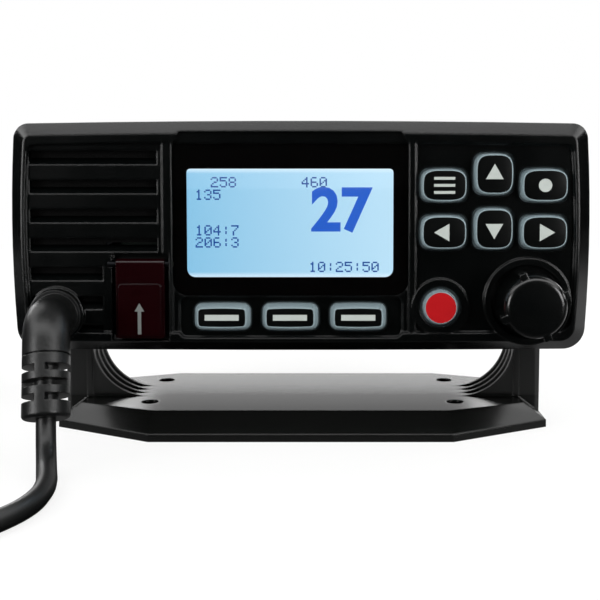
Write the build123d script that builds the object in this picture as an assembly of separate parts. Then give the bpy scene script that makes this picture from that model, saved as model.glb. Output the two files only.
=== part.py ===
# Fixed-mount marine radio on its gimbal bracket, with its fist microphone.
#
# Millimetres. +X is the viewer's right, the front panel faces -Y and +Z is up. The origin is the
# middle of the bracket's foot, on the surface that it stands on. A depth is measured forwards
# from the tilt axis, so a depth of 34 lies at Y = -34.

import os
from math import cos, radians, sin, tan

from build123d import *

# --- bracket ---------------------------------------------------------------------------------
foot_depth = 66.0
foot_corner_run = 30.3
foot_side_half = 16.3
foot_corner_draw = 0.05
foot_height = 7.5
foot_lip = 2.2
foot_slope = 7.0
foot_step = 0.6
foot_hollow = 3.4
foot_rim = 7.0
foot_rib = 2.4
hole_radius = 2.6
hole_spacing_x = 93.5
hole_spacing_y = 30.5
hole_pad = 6.0
arm_thick = 8.0
arm_foot_half = 9.4
arm_top_radius = 11.0
arm_bevel = 1.5
gusset_leg = 17.0
gusset_core = 14.5
gusset_rib = 1.5
gusset_count = 4

# --- tilt axis and its knobs -----------------------------------------------------------------
pivot_z = 60.0
stud_radius = 2.5
stud_gap = 0.3
stud_tip_gap = 1.0
thread_gap = 0.05
insert_radius = 4.5
insert_length = 9.0
insert_wall = 2.0
insert_floor = 1.0
washer_radius = 10.5
washer_thick = 1.7
washer_gap = 0.3
side_boss_radius = 12.0
side_boss_height = 1.5
knob_gap = 0.3
bracket_knob_radius = 11.5
bracket_knob_length = 13.5
bracket_knob_lobes = 6
bracket_knob_bevel = 1.4
bracket_knob_skirt = 2.5
bracket_knob_web = 3.0
lobe_cut_radius = 3.4

# --- front bezel -----------------------------------------------------------------------------
bezel_width = 167.6
bezel_wide_z = 70.0
bezel_top = 92.8
bezel_bottom = 26.0
bezel_corner_drop = 0.8
bezel_top_taper = 1.0
bezel_bottom_taper = 1.3
bezel_top_radius = 4.5
bezel_bottom_radius = 6.5
bezel_wall = 3.0
bezel_arm_gap = 3.0
bezel_depth = 14.5
shoulder_drop = 3.5
ridge_rise = 1.2
panel_thick = 2.5
ridge_side = 4.0
ridge_top = 3.6
ridge_bottom = 3.2
step_draft = 0.3
panel_side = 5.3
panel_top = 6.4
panel_bottom = 5.9
rib_left_x = (-39.6, -36.7)
rib_right_x = (31.0, 33.1)
rib_height = 1.0
rib_root = 1.0
screw_boss_radius = 3.0
screw_x = 75.5
screw_top_z = 87.0
screw_bottom_z = 33.5
screw_radius = 1.25
screw_clear = 0.3
screw_head_radius = 2.5
screw_head = 1.7
screw_head_round = 0.6
screw_head_sink = 1.8
screw_end_gap = 2.0

# --- speaker behind its louvres --------------------------------------------------------------
slot_left = -77.6
slot_right = -41.2
slot_right_low = -57.0
slot_top = 84.05
slot_height = 3.95
slot_pitch = 8.36
slot_count = 7
slot_short_from = 4
slot_rise = 2.0
mesh_thick = 0.4
mesh_border = 1.3
mesh_border_low = 0.5
mesh_well_gap = 3.0
speaker_x = -62.0
speaker_z = 70.6
speaker_radius = 15.0
speaker_depth = 8.0
speaker_wall = 1.0
magnet_radius = 9.0
magnet_gap = 0.3
pole_step = 2.0
cone_thick = 0.6
cone_cap_radius = 4.0

# --- display ---------------------------------------------------------------------------------
window_bottom = 42.5
window_top = 86.2
window_thick = 1.6
window_inset = 0.2
window_gap = 0.1
window_corner = 4.3
window_top_corner = 0.8
brow_top = 89.6
brow_half_drop = 2.0
lcd_x = (-32.2, 26.3)
lcd_z = (48.2, 79.0)
lcd_border = 1.6
lcd_thick = 2.2
view_border = 0.9
backlight_thick = 1.2

# --- keys ------------------------------------------------------------------------------------
# name: centre x, centre z, width, height
pad_keys = {
    "menu_key": (41.0, 74.3, 13.5, 9.7),
    "up_key": (55.2, 77.5, 11.5, 12.0),
    "enter_key": (69.6, 74.3, 13.7, 9.7),
    "left_key": (41.0, 60.9, 13.5, 10.0),
    "down_key": (55.2, 61.9, 11.5, 12.1),
    "right_key": (69.6, 60.9, 13.7, 10.0),
}
soft_key_x = {"soft_key_left": -22.6, "soft_key_middle": -3.0, "soft_key_right": 16.6}
soft_key_z = 36.3
soft_key_width = 16.2
soft_key_height = 8.0
soft_well_x = (-35.0, 29.4)
soft_well_z = (30.4, 42.2)
soft_well_depth = 1.1
key_gap = 0.3
key_proud = 2.8
key_taper = 1.0
key_corner = 2.2
key_bulge = 0.5
key_travel = 0.8
flange_wide = 0.55
flange_thick = 0.8
channel_key_x = 40.2
channel_key_z = 39.3
channel_key_radius = 5.5
channel_collar_radius = 8.2
channel_collar_height = 1.1

# --- volume knob -----------------------------------------------------------------------------
volume_x = 65.3
volume_z = 40.9
volume_collar_radius = 12.6
volume_collar_height = 1.5
volume_dish_radius = 10.7
volume_dish_draft = 0.6
volume_radius = 9.15
volume_draft = 0.35
volume_length = 13.6
volume_skirt = 1.0
volume_edge = 0.5
volume_lugs = 4
lug_angle = 22.0
lug_width = 2.3
lug_height = 0.9
lug_drop = 1.2
shaft_radius = 3.0
shaft_length = 12.0
bush_radius = 4.5
bush_length = 3.6
encoder_width = 12.0

# --- distress cover and button ---------------------------------------------------------------
cover_well_x = (-54.3, -37.8)
cover_well_z = (29.5, 54.7)
cover_floor = 2.3
cover_wall = 1.6
cover_side_gap = 1.3
cover_bottom = 30.2
cover_hinge_z = 51.6
cover_sink = 0.9
cover_thick = 2.0
cover_corner = 1.0
cover_lip = 1.3
cover_lip_border = 0.9
cover_lip_top = 46.0
hinge_rise = 0.6
pin_radius = 0.8
knuckle_radius = 1.5
pin_seat = 1.2
distress_z = 40.0
distress_radius = 4.5
distress_proud = 0.5

# --- key mat and boards ----------------------------------------------------------------------
mat_thick = 1.2
mat_gap = 0.3
mat_margin = 2.0
board_thick = 1.6
board_x = (-56.0, 77.0)
board_z = (32.5, 86.0)
encoder_room = 1.5
speaker_room = 1.2
main_board_z = 52.0
main_board_half = 48.0
main_board_front_gap = 6.0
main_board_rear_gap = 10.0
shield_half = 17.0
shield_start = 6.0
shield_length = 34.0
shield_height = 9.0
shield_wall = 0.8
standoff_radius = 3.0
standoff_inset = 5.0

# --- rear housing ----------------------------------------------------------------------------
housing_half = 62.5
housing_top = 89.0
housing_bottom = 31.5
housing_rear = -66.0
housing_wall = 2.5
housing_rear_wall = 5.0
housing_corner = 6.0
flange_inset = 0.5
flange_depth = 3.0
gasket_inset = 1.1
gasket_width = 1.1
gasket_thick = 1.0
fin_half = 30.0
fin_count = 11
fin_thick = 2.0
fin_height = 10.0
fin_margin = 2.0
fin_lean = 5.0
fin_root = 1.0
antenna_x = -46.0
antenna_z = 66.0
antenna_radius = 7.9
antenna_length = 12.5
antenna_flange = 25.4
antenna_flange_thick = 2.0
antenna_flange_corner = 2.0
insulator_radius = 5.4
insulator_rim = 3.0
contact_radius = 1.9
contact_depth = 6.0
gland_x = 46.0
gland_z = 66.0
gland_radius = 6.5
gland_length = 9.0
gland_nut_radius = 8.1
gland_nut_length = 4.0
gland_round = 1.5
gland_dimple = 3.2
gland_dimple_depth = 3.0

# --- microphone lead -------------------------------------------------------------------------
lead_diameter = 5.2
socket_x = -70.2
socket_z = 37.1
socket_radius = 7.9
socket_height = 1.4
stub_radius = 3.0
stub_tail = 2.0
elbow_radius = 6.3
elbow_bend = 8.0
elbow_reach = 14.6
elbow_shift = 1.5
boot_drop = (2.4, -10.1, -23.9)
boot_flare_radius = 7.3
boot_flare_thick = 1.6
boot_groove = 9.0
boot_groove_width = 0.4
boot_groove_depth = 0.6
boot_slots = 3
boot_slot_start = 12.2
boot_slot_pitch = 3.92
boot_slot_width = 1.85
boot_web = 2.7
boot_turn = 1.0
boot_core_radius = 3.2
boot_end_round = 1.0
lead_points = [
    (-65.8, -59.6, 8.6),
    (-64.7, -63.2, 5.0),
    (-63.1, -68.6, 2.7),
    (-59.7, -79.9, 2.7),
    (-59.3, -93.0, 2.7),
    (-64.2, -105.2, 2.7),
    (-73.7, -114.4, 2.7),
    (-86.1, -118.7, 2.7),
    (-104.0, -119.0, 2.7),
]
lead_tail_points = [(-155.8, -75.4, 8.4), (-156.4, -65.2, 8.6)]
lead_floor_gap = 0.1
arc_share = 0.45
coil_x = -122.0
coil_y = -85.2
coil_ring = 30.6
coil_bundle = 11.0
coil_round = 3.0

# --- fist microphone, in its own frame: back at z = 0, lead at -y ------------------------------
# It lies on its hang button and its lead end, so that its top end is raised.
mic_x = -157.2
mic_y = 9.0
mic_lift = 0.2
mic_tilt = 6.0
mic_length = 88.0
mic_top_width = 60.0
mic_foot_width = 44.0
mic_top_crown = 8.0
mic_foot_crown = 4.0
mic_side_bow = 1.5
mic_corner = 7.0
mic_back_thick = 12.0
mic_front_thick = 17.0
mic_wall = 3.0
mic_back_round = 3.0
mic_front_round = 4.0
mic_grille_slots = 6
mic_slot_pitch = 4.4
mic_slot_width = 2.0
mic_slot_length = 26.0
mic_slot_depth = 1.6
mic_slot_from_foot = 28.0
hang_radius = 9.0
hang_neck_radius = 5.5
hang_height = 5.0
hang_head = 2.0
hang_from_top = 30.0
talk_length = 40.0
talk_width = 10.7
talk_proud = 3.6
talk_sunk = 3.0
talk_round = 2.2
talk_from_top = 34.0
talk_travel = 1.5
channel_from_top = 15.0
channel_x = 9.0
mic_key_width = 12.0
mic_key_depth = 7.0
mic_key_corner = 2.0
mic_key_proud = 1.6
mic_key_sunk = 2.0
capsule_radius = 5.0
capsule_thick = 4.0
relief_length = 22.0
relief_radius = 5.2
relief_wall = 0.5
relief_seat = 2.5

# --- sizes worked out from the ones above ------------------------------------------------------
cut_over = 1.0
bezel_rear = arm_top_radius + bezel_arm_gap + flange_depth
panel_depth = bezel_rear + bezel_depth
bezel_shoulder = panel_depth - shoulder_drop
ridge_depth = panel_depth + ridge_rise
wall_back = panel_depth - panel_thick
mat_front = wall_back - 2 * key_gap - flange_thick - key_travel
mat_back = mat_front - mat_thick
boss_end = housing_half + side_boss_height
arm_inner = boss_end + washer_thick + washer_gap
arm_outer = arm_inner + arm_thick
foot_half = arm_outer + foot_step
foot_front_half = foot_half - foot_corner_run
rear_flange = bezel_rear - flange_depth
main_board_depth = (housing_rear + main_board_rear_gap, rear_flange - main_board_front_gap)
cover_rear = panel_depth - cover_sink
cover_front = cover_rear + cover_thick
hinge_depth = cover_rear + hinge_rise
cover_mid = sum(cover_well_x) / 2
cover_back = panel_depth - cover_floor - cover_wall
lead_radius = lead_diameter / 2
mic_full = mic_back_thick + mic_front_thick
mic_slot_y = mic_slot_from_foot - mic_length / 2
hang_y = mic_length / 2 - hang_from_top
talk_y = mic_length / 2 - talk_from_top
channel_y = mic_length / 2 - channel_from_top
mic_turn = Pos(0, -mic_length / 2) * Rot(mic_tilt, 0, 0) * Pos(0, mic_length / 2)
mic_place = Pos(mic_x, mic_y, mic_lift) * mic_turn
parts = {}


def slab(sketch, back, front):
    """A sketch in X and Z, made solid between two depths."""
    return extrude(Plane.XZ.offset(back) * sketch, front - back)


def block(xs, zs, back, front, radius=0.0):
    """A box between two depths, with its four long edges rounded."""
    width, height = xs[1] - xs[0], zs[1] - zs[0]
    outline = RectangleRounded(width, height, radius) if radius else Rectangle(width, height)
    return slab(Pos((xs[0] + xs[1]) / 2, (zs[0] + zs[1]) / 2) * outline, back, front)


def around(middle, half):
    """The two ends of a stretch with a given middle."""
    return middle - half, middle + half


def grown(ends, by):
    """A stretch made longer at both ends."""
    return ends[0] - by, ends[1] + by


def disc(x, z, radius, back, front):
    """A round bar along the front-to-back direction."""
    return slab(Pos(x, z) * Circle(radius), back, front)


def cone(x, z, back, back_radius, front, front_radius):
    """A drafted round bar along the front-to-back direction."""
    ends = [(back, back_radius), (front, front_radius)]
    return loft([Plane.XZ.offset(depth) * (Pos(x, z) * Circle(r)) for depth, r in ends], ruled=True)


def bar(y, z, radius, x0, x1):
    """A round bar along X."""
    return extrude(Plane.YZ.offset(x0) * (Pos(y, z) * Circle(radius)), x1 - x0)


def barrel(width, height, bulge, grow):
    """A rectangle whose four sides bow out, with round corners, grown all round."""
    w, h = width / 2 - bulge + grow, height / 2 - bulge + grow
    sides = [
        ThreePointArc((-w, h), (0, h + bulge), (w, h)),
        ThreePointArc((w, h), (w + bulge, 0), (w, -h)),
        ThreePointArc((w, -h), (0, -h - bulge), (-w, -h)),
        ThreePointArc((-w, -h), (-w - bulge, 0), (-w, h)),
    ]
    face = make_face(sides)
    return fillet(face.vertices(), key_corner + grow)


def key_solid(outline, front):
    """A key with a drafted rim and a flange that holds it behind the panel."""
    root = wall_back + panel_thick / 2
    stem_back = wall_back - key_gap
    stem = slab(outline(0), stem_back, root)
    ends = [Plane.XZ.offset(root) * outline(0), Plane.XZ.offset(front) * outline(-key_taper)]
    flange = slab(outline(flange_wide), stem_back - flange_thick, stem_back)
    return stem + loft(ends, ruled=True) + flange


# --- bracket: one moulding -------------------------------------------------------------------
def foot_outline(inset):
    """The foot's eight-sided outline, drawn in by an inset, its corners by a part of that."""
    long, deep = foot_half - inset, foot_depth / 2 - inset
    front = foot_front_half - inset * foot_corner_draw
    side = foot_side_half - inset * foot_corner_draw
    corners = [
        (front, -deep),
        (long, -side),
        (long, side),
        (front, deep),
        (-front, deep),
        (-long, side),
        (-long, -side),
        (-front, -deep),
    ]
    return make_face(Polyline(corners, close=True))


def make_bracket():
    """The foot, hollow beneath between its ribs, with both arms and its four screw holes."""
    lip = extrude(foot_outline(0), foot_lip)
    top = Pos(0, 0, foot_height) * foot_outline(foot_slope)
    skirt = loft([Pos(0, 0, foot_lip) * foot_outline(0), top], ruled=True)
    foot = lip + skirt
    hollow = extrude(foot_outline(foot_rim), foot_hollow)
    holes = GridLocations(hole_spacing_x, hole_spacing_y, 2, 2)
    for spot in holes:
        hollow -= extrude(spot * Circle(hole_pad), foot_hollow)
    for x in (-foot_front_half / 2, 0, foot_front_half / 2):
        hollow -= Pos(x, 0, 0) * Box(foot_rib, foot_depth, 2 * foot_hollow)
    hollow -= Box(2 * foot_half, foot_rib, 2 * foot_hollow)
    foot -= hollow
    for side in (-1, 1):
        foot += arm(side)
    for spot in holes:
        foot -= extrude(spot * Circle(hole_radius), foot_height)
    return foot


def arm(side):
    """An upright arm with a round top, its stud hole, and ribbed gussets in its inner corner."""
    left, right = (-arm_top_radius, pivot_z), (arm_top_radius, pivot_z)
    profile = make_face(
        [
            Line((-arm_foot_half, 0), left),
            ThreePointArc(left, (0, pivot_z + arm_top_radius), right),
            Line(right, (arm_foot_half, 0)),
            Line((arm_foot_half, 0), (-arm_foot_half, 0)),
        ]
    )
    plate = extrude(Plane.YZ.offset(arm_inner) * profile, arm_thick)
    for end in (0, -1):
        rim = plate.faces().sort_by(Axis.X)[end].edges().filter_by(Axis.Y, reverse=True)
        plate = chamfer(rim, arm_bevel)
    plate -= bar(0, pivot_z, stud_radius + stud_gap, arm_inner, arm_outer)
    flat = 2 * arm_foot_half - 2 * arm_bevel
    pitch = (flat - gusset_rib) / (gusset_count - 1)
    plate += gusset(gusset_core, flat)
    for spot in GridLocations(0, pitch, 1, gusset_count):
        plate += spot * gusset(gusset_leg, gusset_rib)
    return plate if side > 0 else mirror(plate, Plane.YZ)


def gusset(leg, width):
    """A rib with a hollow curve, from the foot's top to the arm's inner face."""
    x, z = arm_inner, foot_height
    reach = leg * (1 - sin(radians(45)))
    root_x, root_z = x + arm_bevel, z - arm_bevel
    outline = make_face(
        [
            ThreePointArc((x - leg, z), (x - reach, z + reach), (x, z + leg)),
            Polyline((x, z + leg), (root_x, z + leg), (root_x, root_z), (x - leg, root_z), (x - leg, z)),
        ]
    )
    return slab(outline, -width / 2, width / 2)


# --- bracket knobs, studs, washers and inserts -----------------------------------------------
def make_side(side):
    """The lobed knob, its stud and the washer of one side."""
    start = arm_outer + knob_gap
    end = start + bracket_knob_length
    body = bar(0, pivot_z, bracket_knob_radius, start, end)
    outer = body.faces().sort_by(Axis.X)[-1]
    body = chamfer(outer.edges(), bracket_knob_bevel)
    reach = bracket_knob_radius + lobe_cut_radius / 2
    for step in range(bracket_knob_lobes):
        angle = radians(360 / bracket_knob_lobes * (step + 0.5))
        y, z = reach * cos(angle), pivot_z + reach * sin(angle)
        body -= bar(y, z, lobe_cut_radius, start + bracket_knob_skirt, end)
    stud_start = boss_end - insert_length + stud_tip_gap
    stud = bar(0, pivot_z, stud_radius, stud_start, end - bracket_knob_web)
    body -= stud
    washer = bar(0, pivot_z, washer_radius, boss_end, boss_end + washer_thick)
    washer -= bar(0, pivot_z, stud_radius + stud_gap, boss_end, boss_end + washer_thick)
    made = (body, stud, washer)
    return made if side > 0 else tuple(mirror(piece, Plane.YZ) for piece in made)


def make_inserts():
    """Both brass thread inserts of the housing's side bosses."""
    insert = bar(0, pivot_z, insert_radius, boss_end - insert_length, boss_end)
    insert -= bar(0, pivot_z, stud_radius + thread_gap, boss_end - insert_length, boss_end)
    return Compound(children=[insert, mirror(insert, Plane.YZ)])


# --- front bezel -----------------------------------------------------------------------------
def bezel_outline(side, top, bottom):
    """The bezel's outline with bowed sides, drawn in at the sides, top and bottom."""
    half = bezel_width / 2 - side
    upper, lower = half - bezel_top_taper, half - bezel_bottom_taper
    high, low = bezel_top - top, bezel_bottom + bottom
    drop = bezel_corner_drop
    foot = low + drop / 2
    face = make_face(
        [
            ThreePointArc((-upper, high - drop), (0, high), (upper, high - drop)),
            ThreePointArc((upper, high - drop), (half, bezel_wide_z), (lower, foot)),
            ThreePointArc((lower, foot), (0, low), (-lower, foot)),
            ThreePointArc((-lower, foot), (-half, bezel_wide_z), (-upper, high - drop)),
        ]
    )
    shrink = min(side, bezel_top_radius / 2)
    face = fillet(face.vertices().sort_by(Axis.Y)[-2:], bezel_top_radius - shrink)
    return fillet(face.vertices().sort_by(Axis.Y)[:2], bezel_bottom_radius - shrink)


def make_bezel():
    """The one-piece front: raised rim, louvres, window seat, key holes, wells and collars."""
    outer = bezel_outline(0, 0, 0)
    ridge = bezel_outline(ridge_side, ridge_top, ridge_bottom)
    body = slab(outer, bezel_rear, bezel_shoulder)
    slope = [Plane.XZ.offset(bezel_shoulder) * outer, Plane.XZ.offset(ridge_depth) * ridge]
    body += loft(slope, ruled=True)
    lip = bezel_outline(panel_side - step_draft, panel_top - step_draft, panel_bottom - step_draft)
    panel = bezel_outline(panel_side, panel_top, panel_bottom)
    dish = [Plane.XZ.offset(panel_depth) * panel, Plane.XZ.offset(ridge_depth) * lip]
    body -= loft(dish, ruled=True)
    hollow = bezel_outline(bezel_wall, bezel_wall, bezel_wall)
    body -= slab(hollow, bezel_rear, wall_back)
    rib_z = (bezel_bottom + panel_bottom - rib_root, bezel_top - panel_top + rib_root)
    for xs in (rib_left_x, rib_right_x):
        body += block(xs, rib_z, panel_depth, panel_depth + rib_height)
    for x, z in screw_spots():
        boss = disc(x, z, screw_boss_radius, bezel_rear, wall_back)
        body += boss - disc(x, z, screw_radius, bezel_rear, wall_back - screw_end_gap)
    body = cut_grille(body)
    body = cut_display(body)
    body = cut_keys(body)
    body = cut_cover_well(body)
    return fit_controls(body)


def screw_spots():
    """The four places of the case screws."""
    return [(x, z) for x in (-screw_x, screw_x) for z in (screw_bottom_z, screw_top_z)]


def slots():
    """Each louvre slot's ends in X and its lower and upper edge at the panel's face."""
    floor = bezel_bottom + panel_bottom
    for step in range(slot_count):
        top = slot_top - step * slot_pitch
        right = slot_right if step < slot_short_from else slot_right_low
        yield slot_left, right, max(top - slot_height, floor), top


def cut_grille(body):
    """Louvre slots that rise towards the back, so that water runs out of them."""
    for left, right, low, high in slots():
        outline = Polyline(
            (-panel_depth - cut_over, low),
            (-panel_depth, low),
            (-wall_back, low + slot_rise),
            (-wall_back, high + slot_rise),
            (-panel_depth, high),
            (-panel_depth - cut_over, high),
            close=True,
        )
        body -= extrude(Plane.YZ.offset(left) * make_face(outline), right - left)
    return body


def window_outline(gap):
    """The window's outline: square at the top, round at its two lower corners."""
    left, right = rib_left_x[1] + gap, rib_right_x[0] - gap
    low, high = window_bottom + gap, window_top - gap
    face = make_face(Polyline((left, low), (right, low), (right, high), (left, high), close=True))
    corners = face.vertices().sort_by(Axis.Y)
    face = fillet(corners[:2], window_corner - gap)
    return fillet(face.vertices().sort_by(Axis.Y)[-2:], window_top_corner)


def cut_display(body):
    """The window's seat, the hole in front of the LCD, and the brow cut into the rim above."""
    seat = panel_depth + window_inset - window_thick
    body -= slab(window_outline(0), seat, ridge_depth)
    body -= block(grown(lcd_x, view_border), grown(lcd_z, view_border), wall_back, seat, view_border)
    left, right = rib_left_x[1], rib_right_x[0]
    brow_bottom = window_top - window_top_corner
    corners = [
        (left, brow_bottom),
        (right, brow_bottom),
        (right - brow_half_drop, brow_top),
        (left + brow_half_drop, brow_top),
    ]
    return body - slab(make_face(Polyline(corners, close=True)), panel_depth, ridge_depth)


def soft_key_outline(name):
    """The outline of one soft key, as a function of how much it is grown."""
    spot = Pos(soft_key_x[name], soft_key_z)
    return lambda grow: spot * barrel(soft_key_width, soft_key_height, key_bulge / 2, grow)


def pad_key_outline(name):
    """The outline of one keypad key, as a function of how much it is grown."""
    x, z, width, height = pad_keys[name]
    return lambda grow: Pos(x, z) * barrel(width, height, key_bulge, grow)


def cut_keys(body):
    """The well of the soft keys and a hole for each key."""
    body -= block(soft_well_x, soft_well_z, panel_depth - soft_well_depth, ridge_depth, key_corner)
    outlines = [soft_key_outline(name) for name in soft_key_x]
    outlines += [pad_key_outline(name) for name in pad_keys]
    for outline in outlines:
        body -= slab(outline(key_gap), wall_back, ridge_depth)
    return body


def cut_cover_well(body):
    """The distress cover's well, its backing, the button's hole and the seats of the hinge pin."""
    floor = panel_depth - cover_floor
    body += block(grown(cover_well_x, cover_wall), grown(cover_well_z, cover_wall), cover_back, wall_back)
    body -= block(cover_well_x, cover_well_z, floor, ridge_depth)
    body -= disc(cover_mid, distress_z, distress_radius + key_gap, cover_back, floor)
    return body - bar(-hinge_depth, cover_hinge_z, pin_radius, *grown(cover_well_x, pin_seat))


def fit_controls(body):
    """The dished knob collar, the round key's collar and the microphone socket's collar."""
    rim = panel_depth + volume_collar_height
    body += disc(volume_x, volume_z, volume_collar_radius, panel_depth, rim)
    dish_floor = volume_dish_radius - volume_dish_draft
    body -= cone(volume_x, volume_z, panel_depth, dish_floor, rim, volume_dish_radius)
    body -= disc(volume_x, volume_z, bush_radius + key_gap, wall_back, panel_depth)
    collar_front = panel_depth + channel_collar_height
    body += disc(channel_key_x, channel_key_z, channel_collar_radius, panel_depth, collar_front)
    body -= disc(channel_key_x, channel_key_z, channel_key_radius + key_gap, wall_back, collar_front)
    socket_front = panel_depth + socket_height
    body += disc(socket_x, socket_z, socket_radius, panel_depth, socket_front)
    room = ridge_depth + socket_height
    body -= disc(socket_x, socket_z, boot_flare_radius + window_gap, socket_front, room)
    return body - disc(socket_x, socket_z, stub_radius, wall_back, socket_front)


# --- display, keys and controls --------------------------------------------------------------
def make_display():
    """The window, the LCD behind it and the LCD's backlight."""
    front = panel_depth + window_inset
    window = slab(window_outline(window_gap), front - window_thick, front)
    lcd_xs, lcd_zs = grown(lcd_x, lcd_border), grown(lcd_z, lcd_border)
    lcd_back = wall_back - lcd_thick
    lcd = block(lcd_xs, lcd_zs, lcd_back, wall_back)
    backlight = block(lcd_xs, lcd_zs, lcd_back - backlight_thick, lcd_back)
    return window, lcd, backlight


def make_volume_knob():
    """A drafted knob with four lugs, hollow round the bush, and its steel shaft."""
    back = panel_depth + key_gap
    front = back + volume_length
    centre = Pos(volume_x, volume_z)
    knob = cone(volume_x, volume_z, back, volume_radius, front, volume_radius - volume_draft)
    lug = Pos(volume_radius + lug_height - lug_width) * Rectangle(2 * lug_width, lug_width)
    angles = [lug_angle + 360 / volume_lugs * step for step in range(volume_lugs)]
    lugs = Sketch() + [centre * Rot(0, 0, angle) * lug for angle in angles]
    knob += slab(lugs, back + volume_skirt, front - lug_drop)
    knob = chamfer(knob.faces().sort_by(Axis.Y)[0].edges(), volume_edge)
    shaft_back = wall_back - key_gap
    shaft = disc(volume_x, volume_z, shaft_radius, shaft_back, shaft_back + shaft_length)
    bush_front = shaft_back + bush_length
    knob -= disc(volume_x, volume_z, bush_radius + key_gap, back, bush_front + key_gap)
    knob -= shaft
    return knob, shaft


def make_encoder():
    """The rotary encoder: a square body on the front board and a round bush."""
    xs, zs = around(volume_x, encoder_width / 2), around(volume_z, encoder_width / 2)
    front = wall_back - key_gap
    body = block(xs, zs, mat_back, front)
    body += disc(volume_x, volume_z, bush_radius, front, front + bush_length)
    return body - disc(volume_x, volume_z, shaft_radius + thread_gap, front, front + bush_length)


def make_cover():
    """The distress cover with its finger lip and its hinge knuckle, and the pin that it turns on."""
    xs = grown(cover_well_x, -cover_side_gap)
    knuckle = bar(-hinge_depth, cover_hinge_z, knuckle_radius, *xs)
    body = block(xs, (cover_bottom, cover_hinge_z), cover_rear, cover_front, cover_corner)
    lip_zs = (cover_bottom + cover_lip_border, cover_lip_top)
    lip_xs = grown(xs, -cover_lip_border)
    body += block(lip_xs, lip_zs, cover_front, cover_front + cover_lip, cover_corner)
    body += knuckle
    body -= bar(-hinge_depth, cover_hinge_z, pin_radius + thread_gap, *xs)
    pin = bar(-hinge_depth, cover_hinge_z, pin_radius, *grown(cover_well_x, pin_seat))
    return body, pin


def make_distress_button():
    """The round button under the cover, with the flange that holds it."""
    seat = cover_back - key_gap
    front = panel_depth - cover_floor + distress_proud
    button = disc(cover_mid, distress_z, distress_radius, seat, front)
    return button + disc(cover_mid, distress_z, distress_radius + flange_wide, seat - flange_thick, seat)


# --- speaker ---------------------------------------------------------------------------------
def make_mesh():
    """The acoustic mesh behind the louvres, stepped round the distress cover's well."""
    front, back = wall_back, wall_back - mesh_thick
    split = cover_well_z[1] + mesh_well_gap
    left = slot_left - mesh_border
    mesh = block((left, slot_right + mesh_border), (split, slot_top + slot_rise + mesh_border), back, front)
    mesh += block((left, slot_right_low + mesh_border_low), (bezel_bottom + panel_bottom, split), back, front)
    for x, z in screw_spots():
        mesh -= disc(x, z, screw_boss_radius, back, front)
    mesh -= disc(socket_x, socket_z, socket_radius, back, front)
    inside = bezel_wall + key_gap
    return mesh & slab(bezel_outline(inside, inside, inside), back, front)


def make_speaker():
    """The basket, cone and magnet, each turned about the speaker's axis."""
    front = wall_back - mesh_thick
    back = front - speaker_depth
    throat = magnet_radius - pole_step
    wall = speaker_wall
    seat = speaker_radius - 2 * wall
    basket = Polyline(
        (throat, -speaker_depth),
        (magnet_radius + wall, -speaker_depth),
        (speaker_radius, -wall),
        (speaker_radius, 0),
        (seat, 0),
        (seat, -wall),
        (magnet_radius, -speaker_depth + wall),
        (throat, -speaker_depth + wall),
        close=True,
    )
    cap = -speaker_depth / 2
    paper = Polyline(
        (0, cap),
        (cone_cap_radius, cap),
        (seat, -cone_thick),
        (seat, 0),
        (seat - wall, 0),
        (cone_cap_radius, cap + cone_thick),
        (0, cap + cone_thick),
        close=True,
    )
    place = Pos(speaker_x, -front, speaker_z) * Rot(90, 0, 0)
    turned = [place * revolve(Plane.XZ * make_face(line), Axis.Z) for line in (basket, paper)]
    magnet = disc(speaker_x, speaker_z, magnet_radius, bezel_rear + magnet_gap, back)
    pole = disc(speaker_x, speaker_z, throat, back, back + wall)
    return turned[0], turned[1], magnet + pole


# --- key mat and boards ----------------------------------------------------------------------
def make_mat_and_board():
    """The rubber key mat, with its opening for the LCD, on the front circuit board."""
    lcd_xs, lcd_zs = grown(lcd_x, lcd_border + mat_gap), grown(lcd_z, lcd_border + mat_gap)
    mat = block((lcd_x[0] - lcd_border - mat_margin, board_x[1]), board_z, mat_back, mat_front)
    mat -= block(lcd_xs, lcd_zs, mat_back, mat_front)
    room = encoder_width / 2 + encoder_room
    mat -= block(around(volume_x, room), around(volume_z, room), mat_back, mat_front)
    board_back = mat_back - board_thick
    board = block(board_x, board_z, board_back, mat_back)
    board -= disc(speaker_x, speaker_z, speaker_radius + speaker_room, board_back, mat_back)
    for x, z in screw_spots():
        post = disc(x, z, screw_boss_radius + mat_gap, board_back, mat_front)
        mat -= post
        board -= post
    return mat, board


def make_main_board():
    """The main board, lying flat in the housing, with the shield can on it."""
    rear, front = main_board_depth
    top = main_board_z + board_thick
    board = block(around(0, main_board_half), (main_board_z, top), rear, front)
    can_rear = rear + shield_start
    can_front = can_rear + shield_length
    can = block(around(0, shield_half), (top, top + shield_height), can_rear, can_front)
    inner_zs = (top, top + shield_height - shield_wall)
    inner_xs = around(0, shield_half - shield_wall)
    can -= block(inner_xs, inner_zs, can_rear + shield_wall, can_front - shield_wall)
    return board, can


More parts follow.
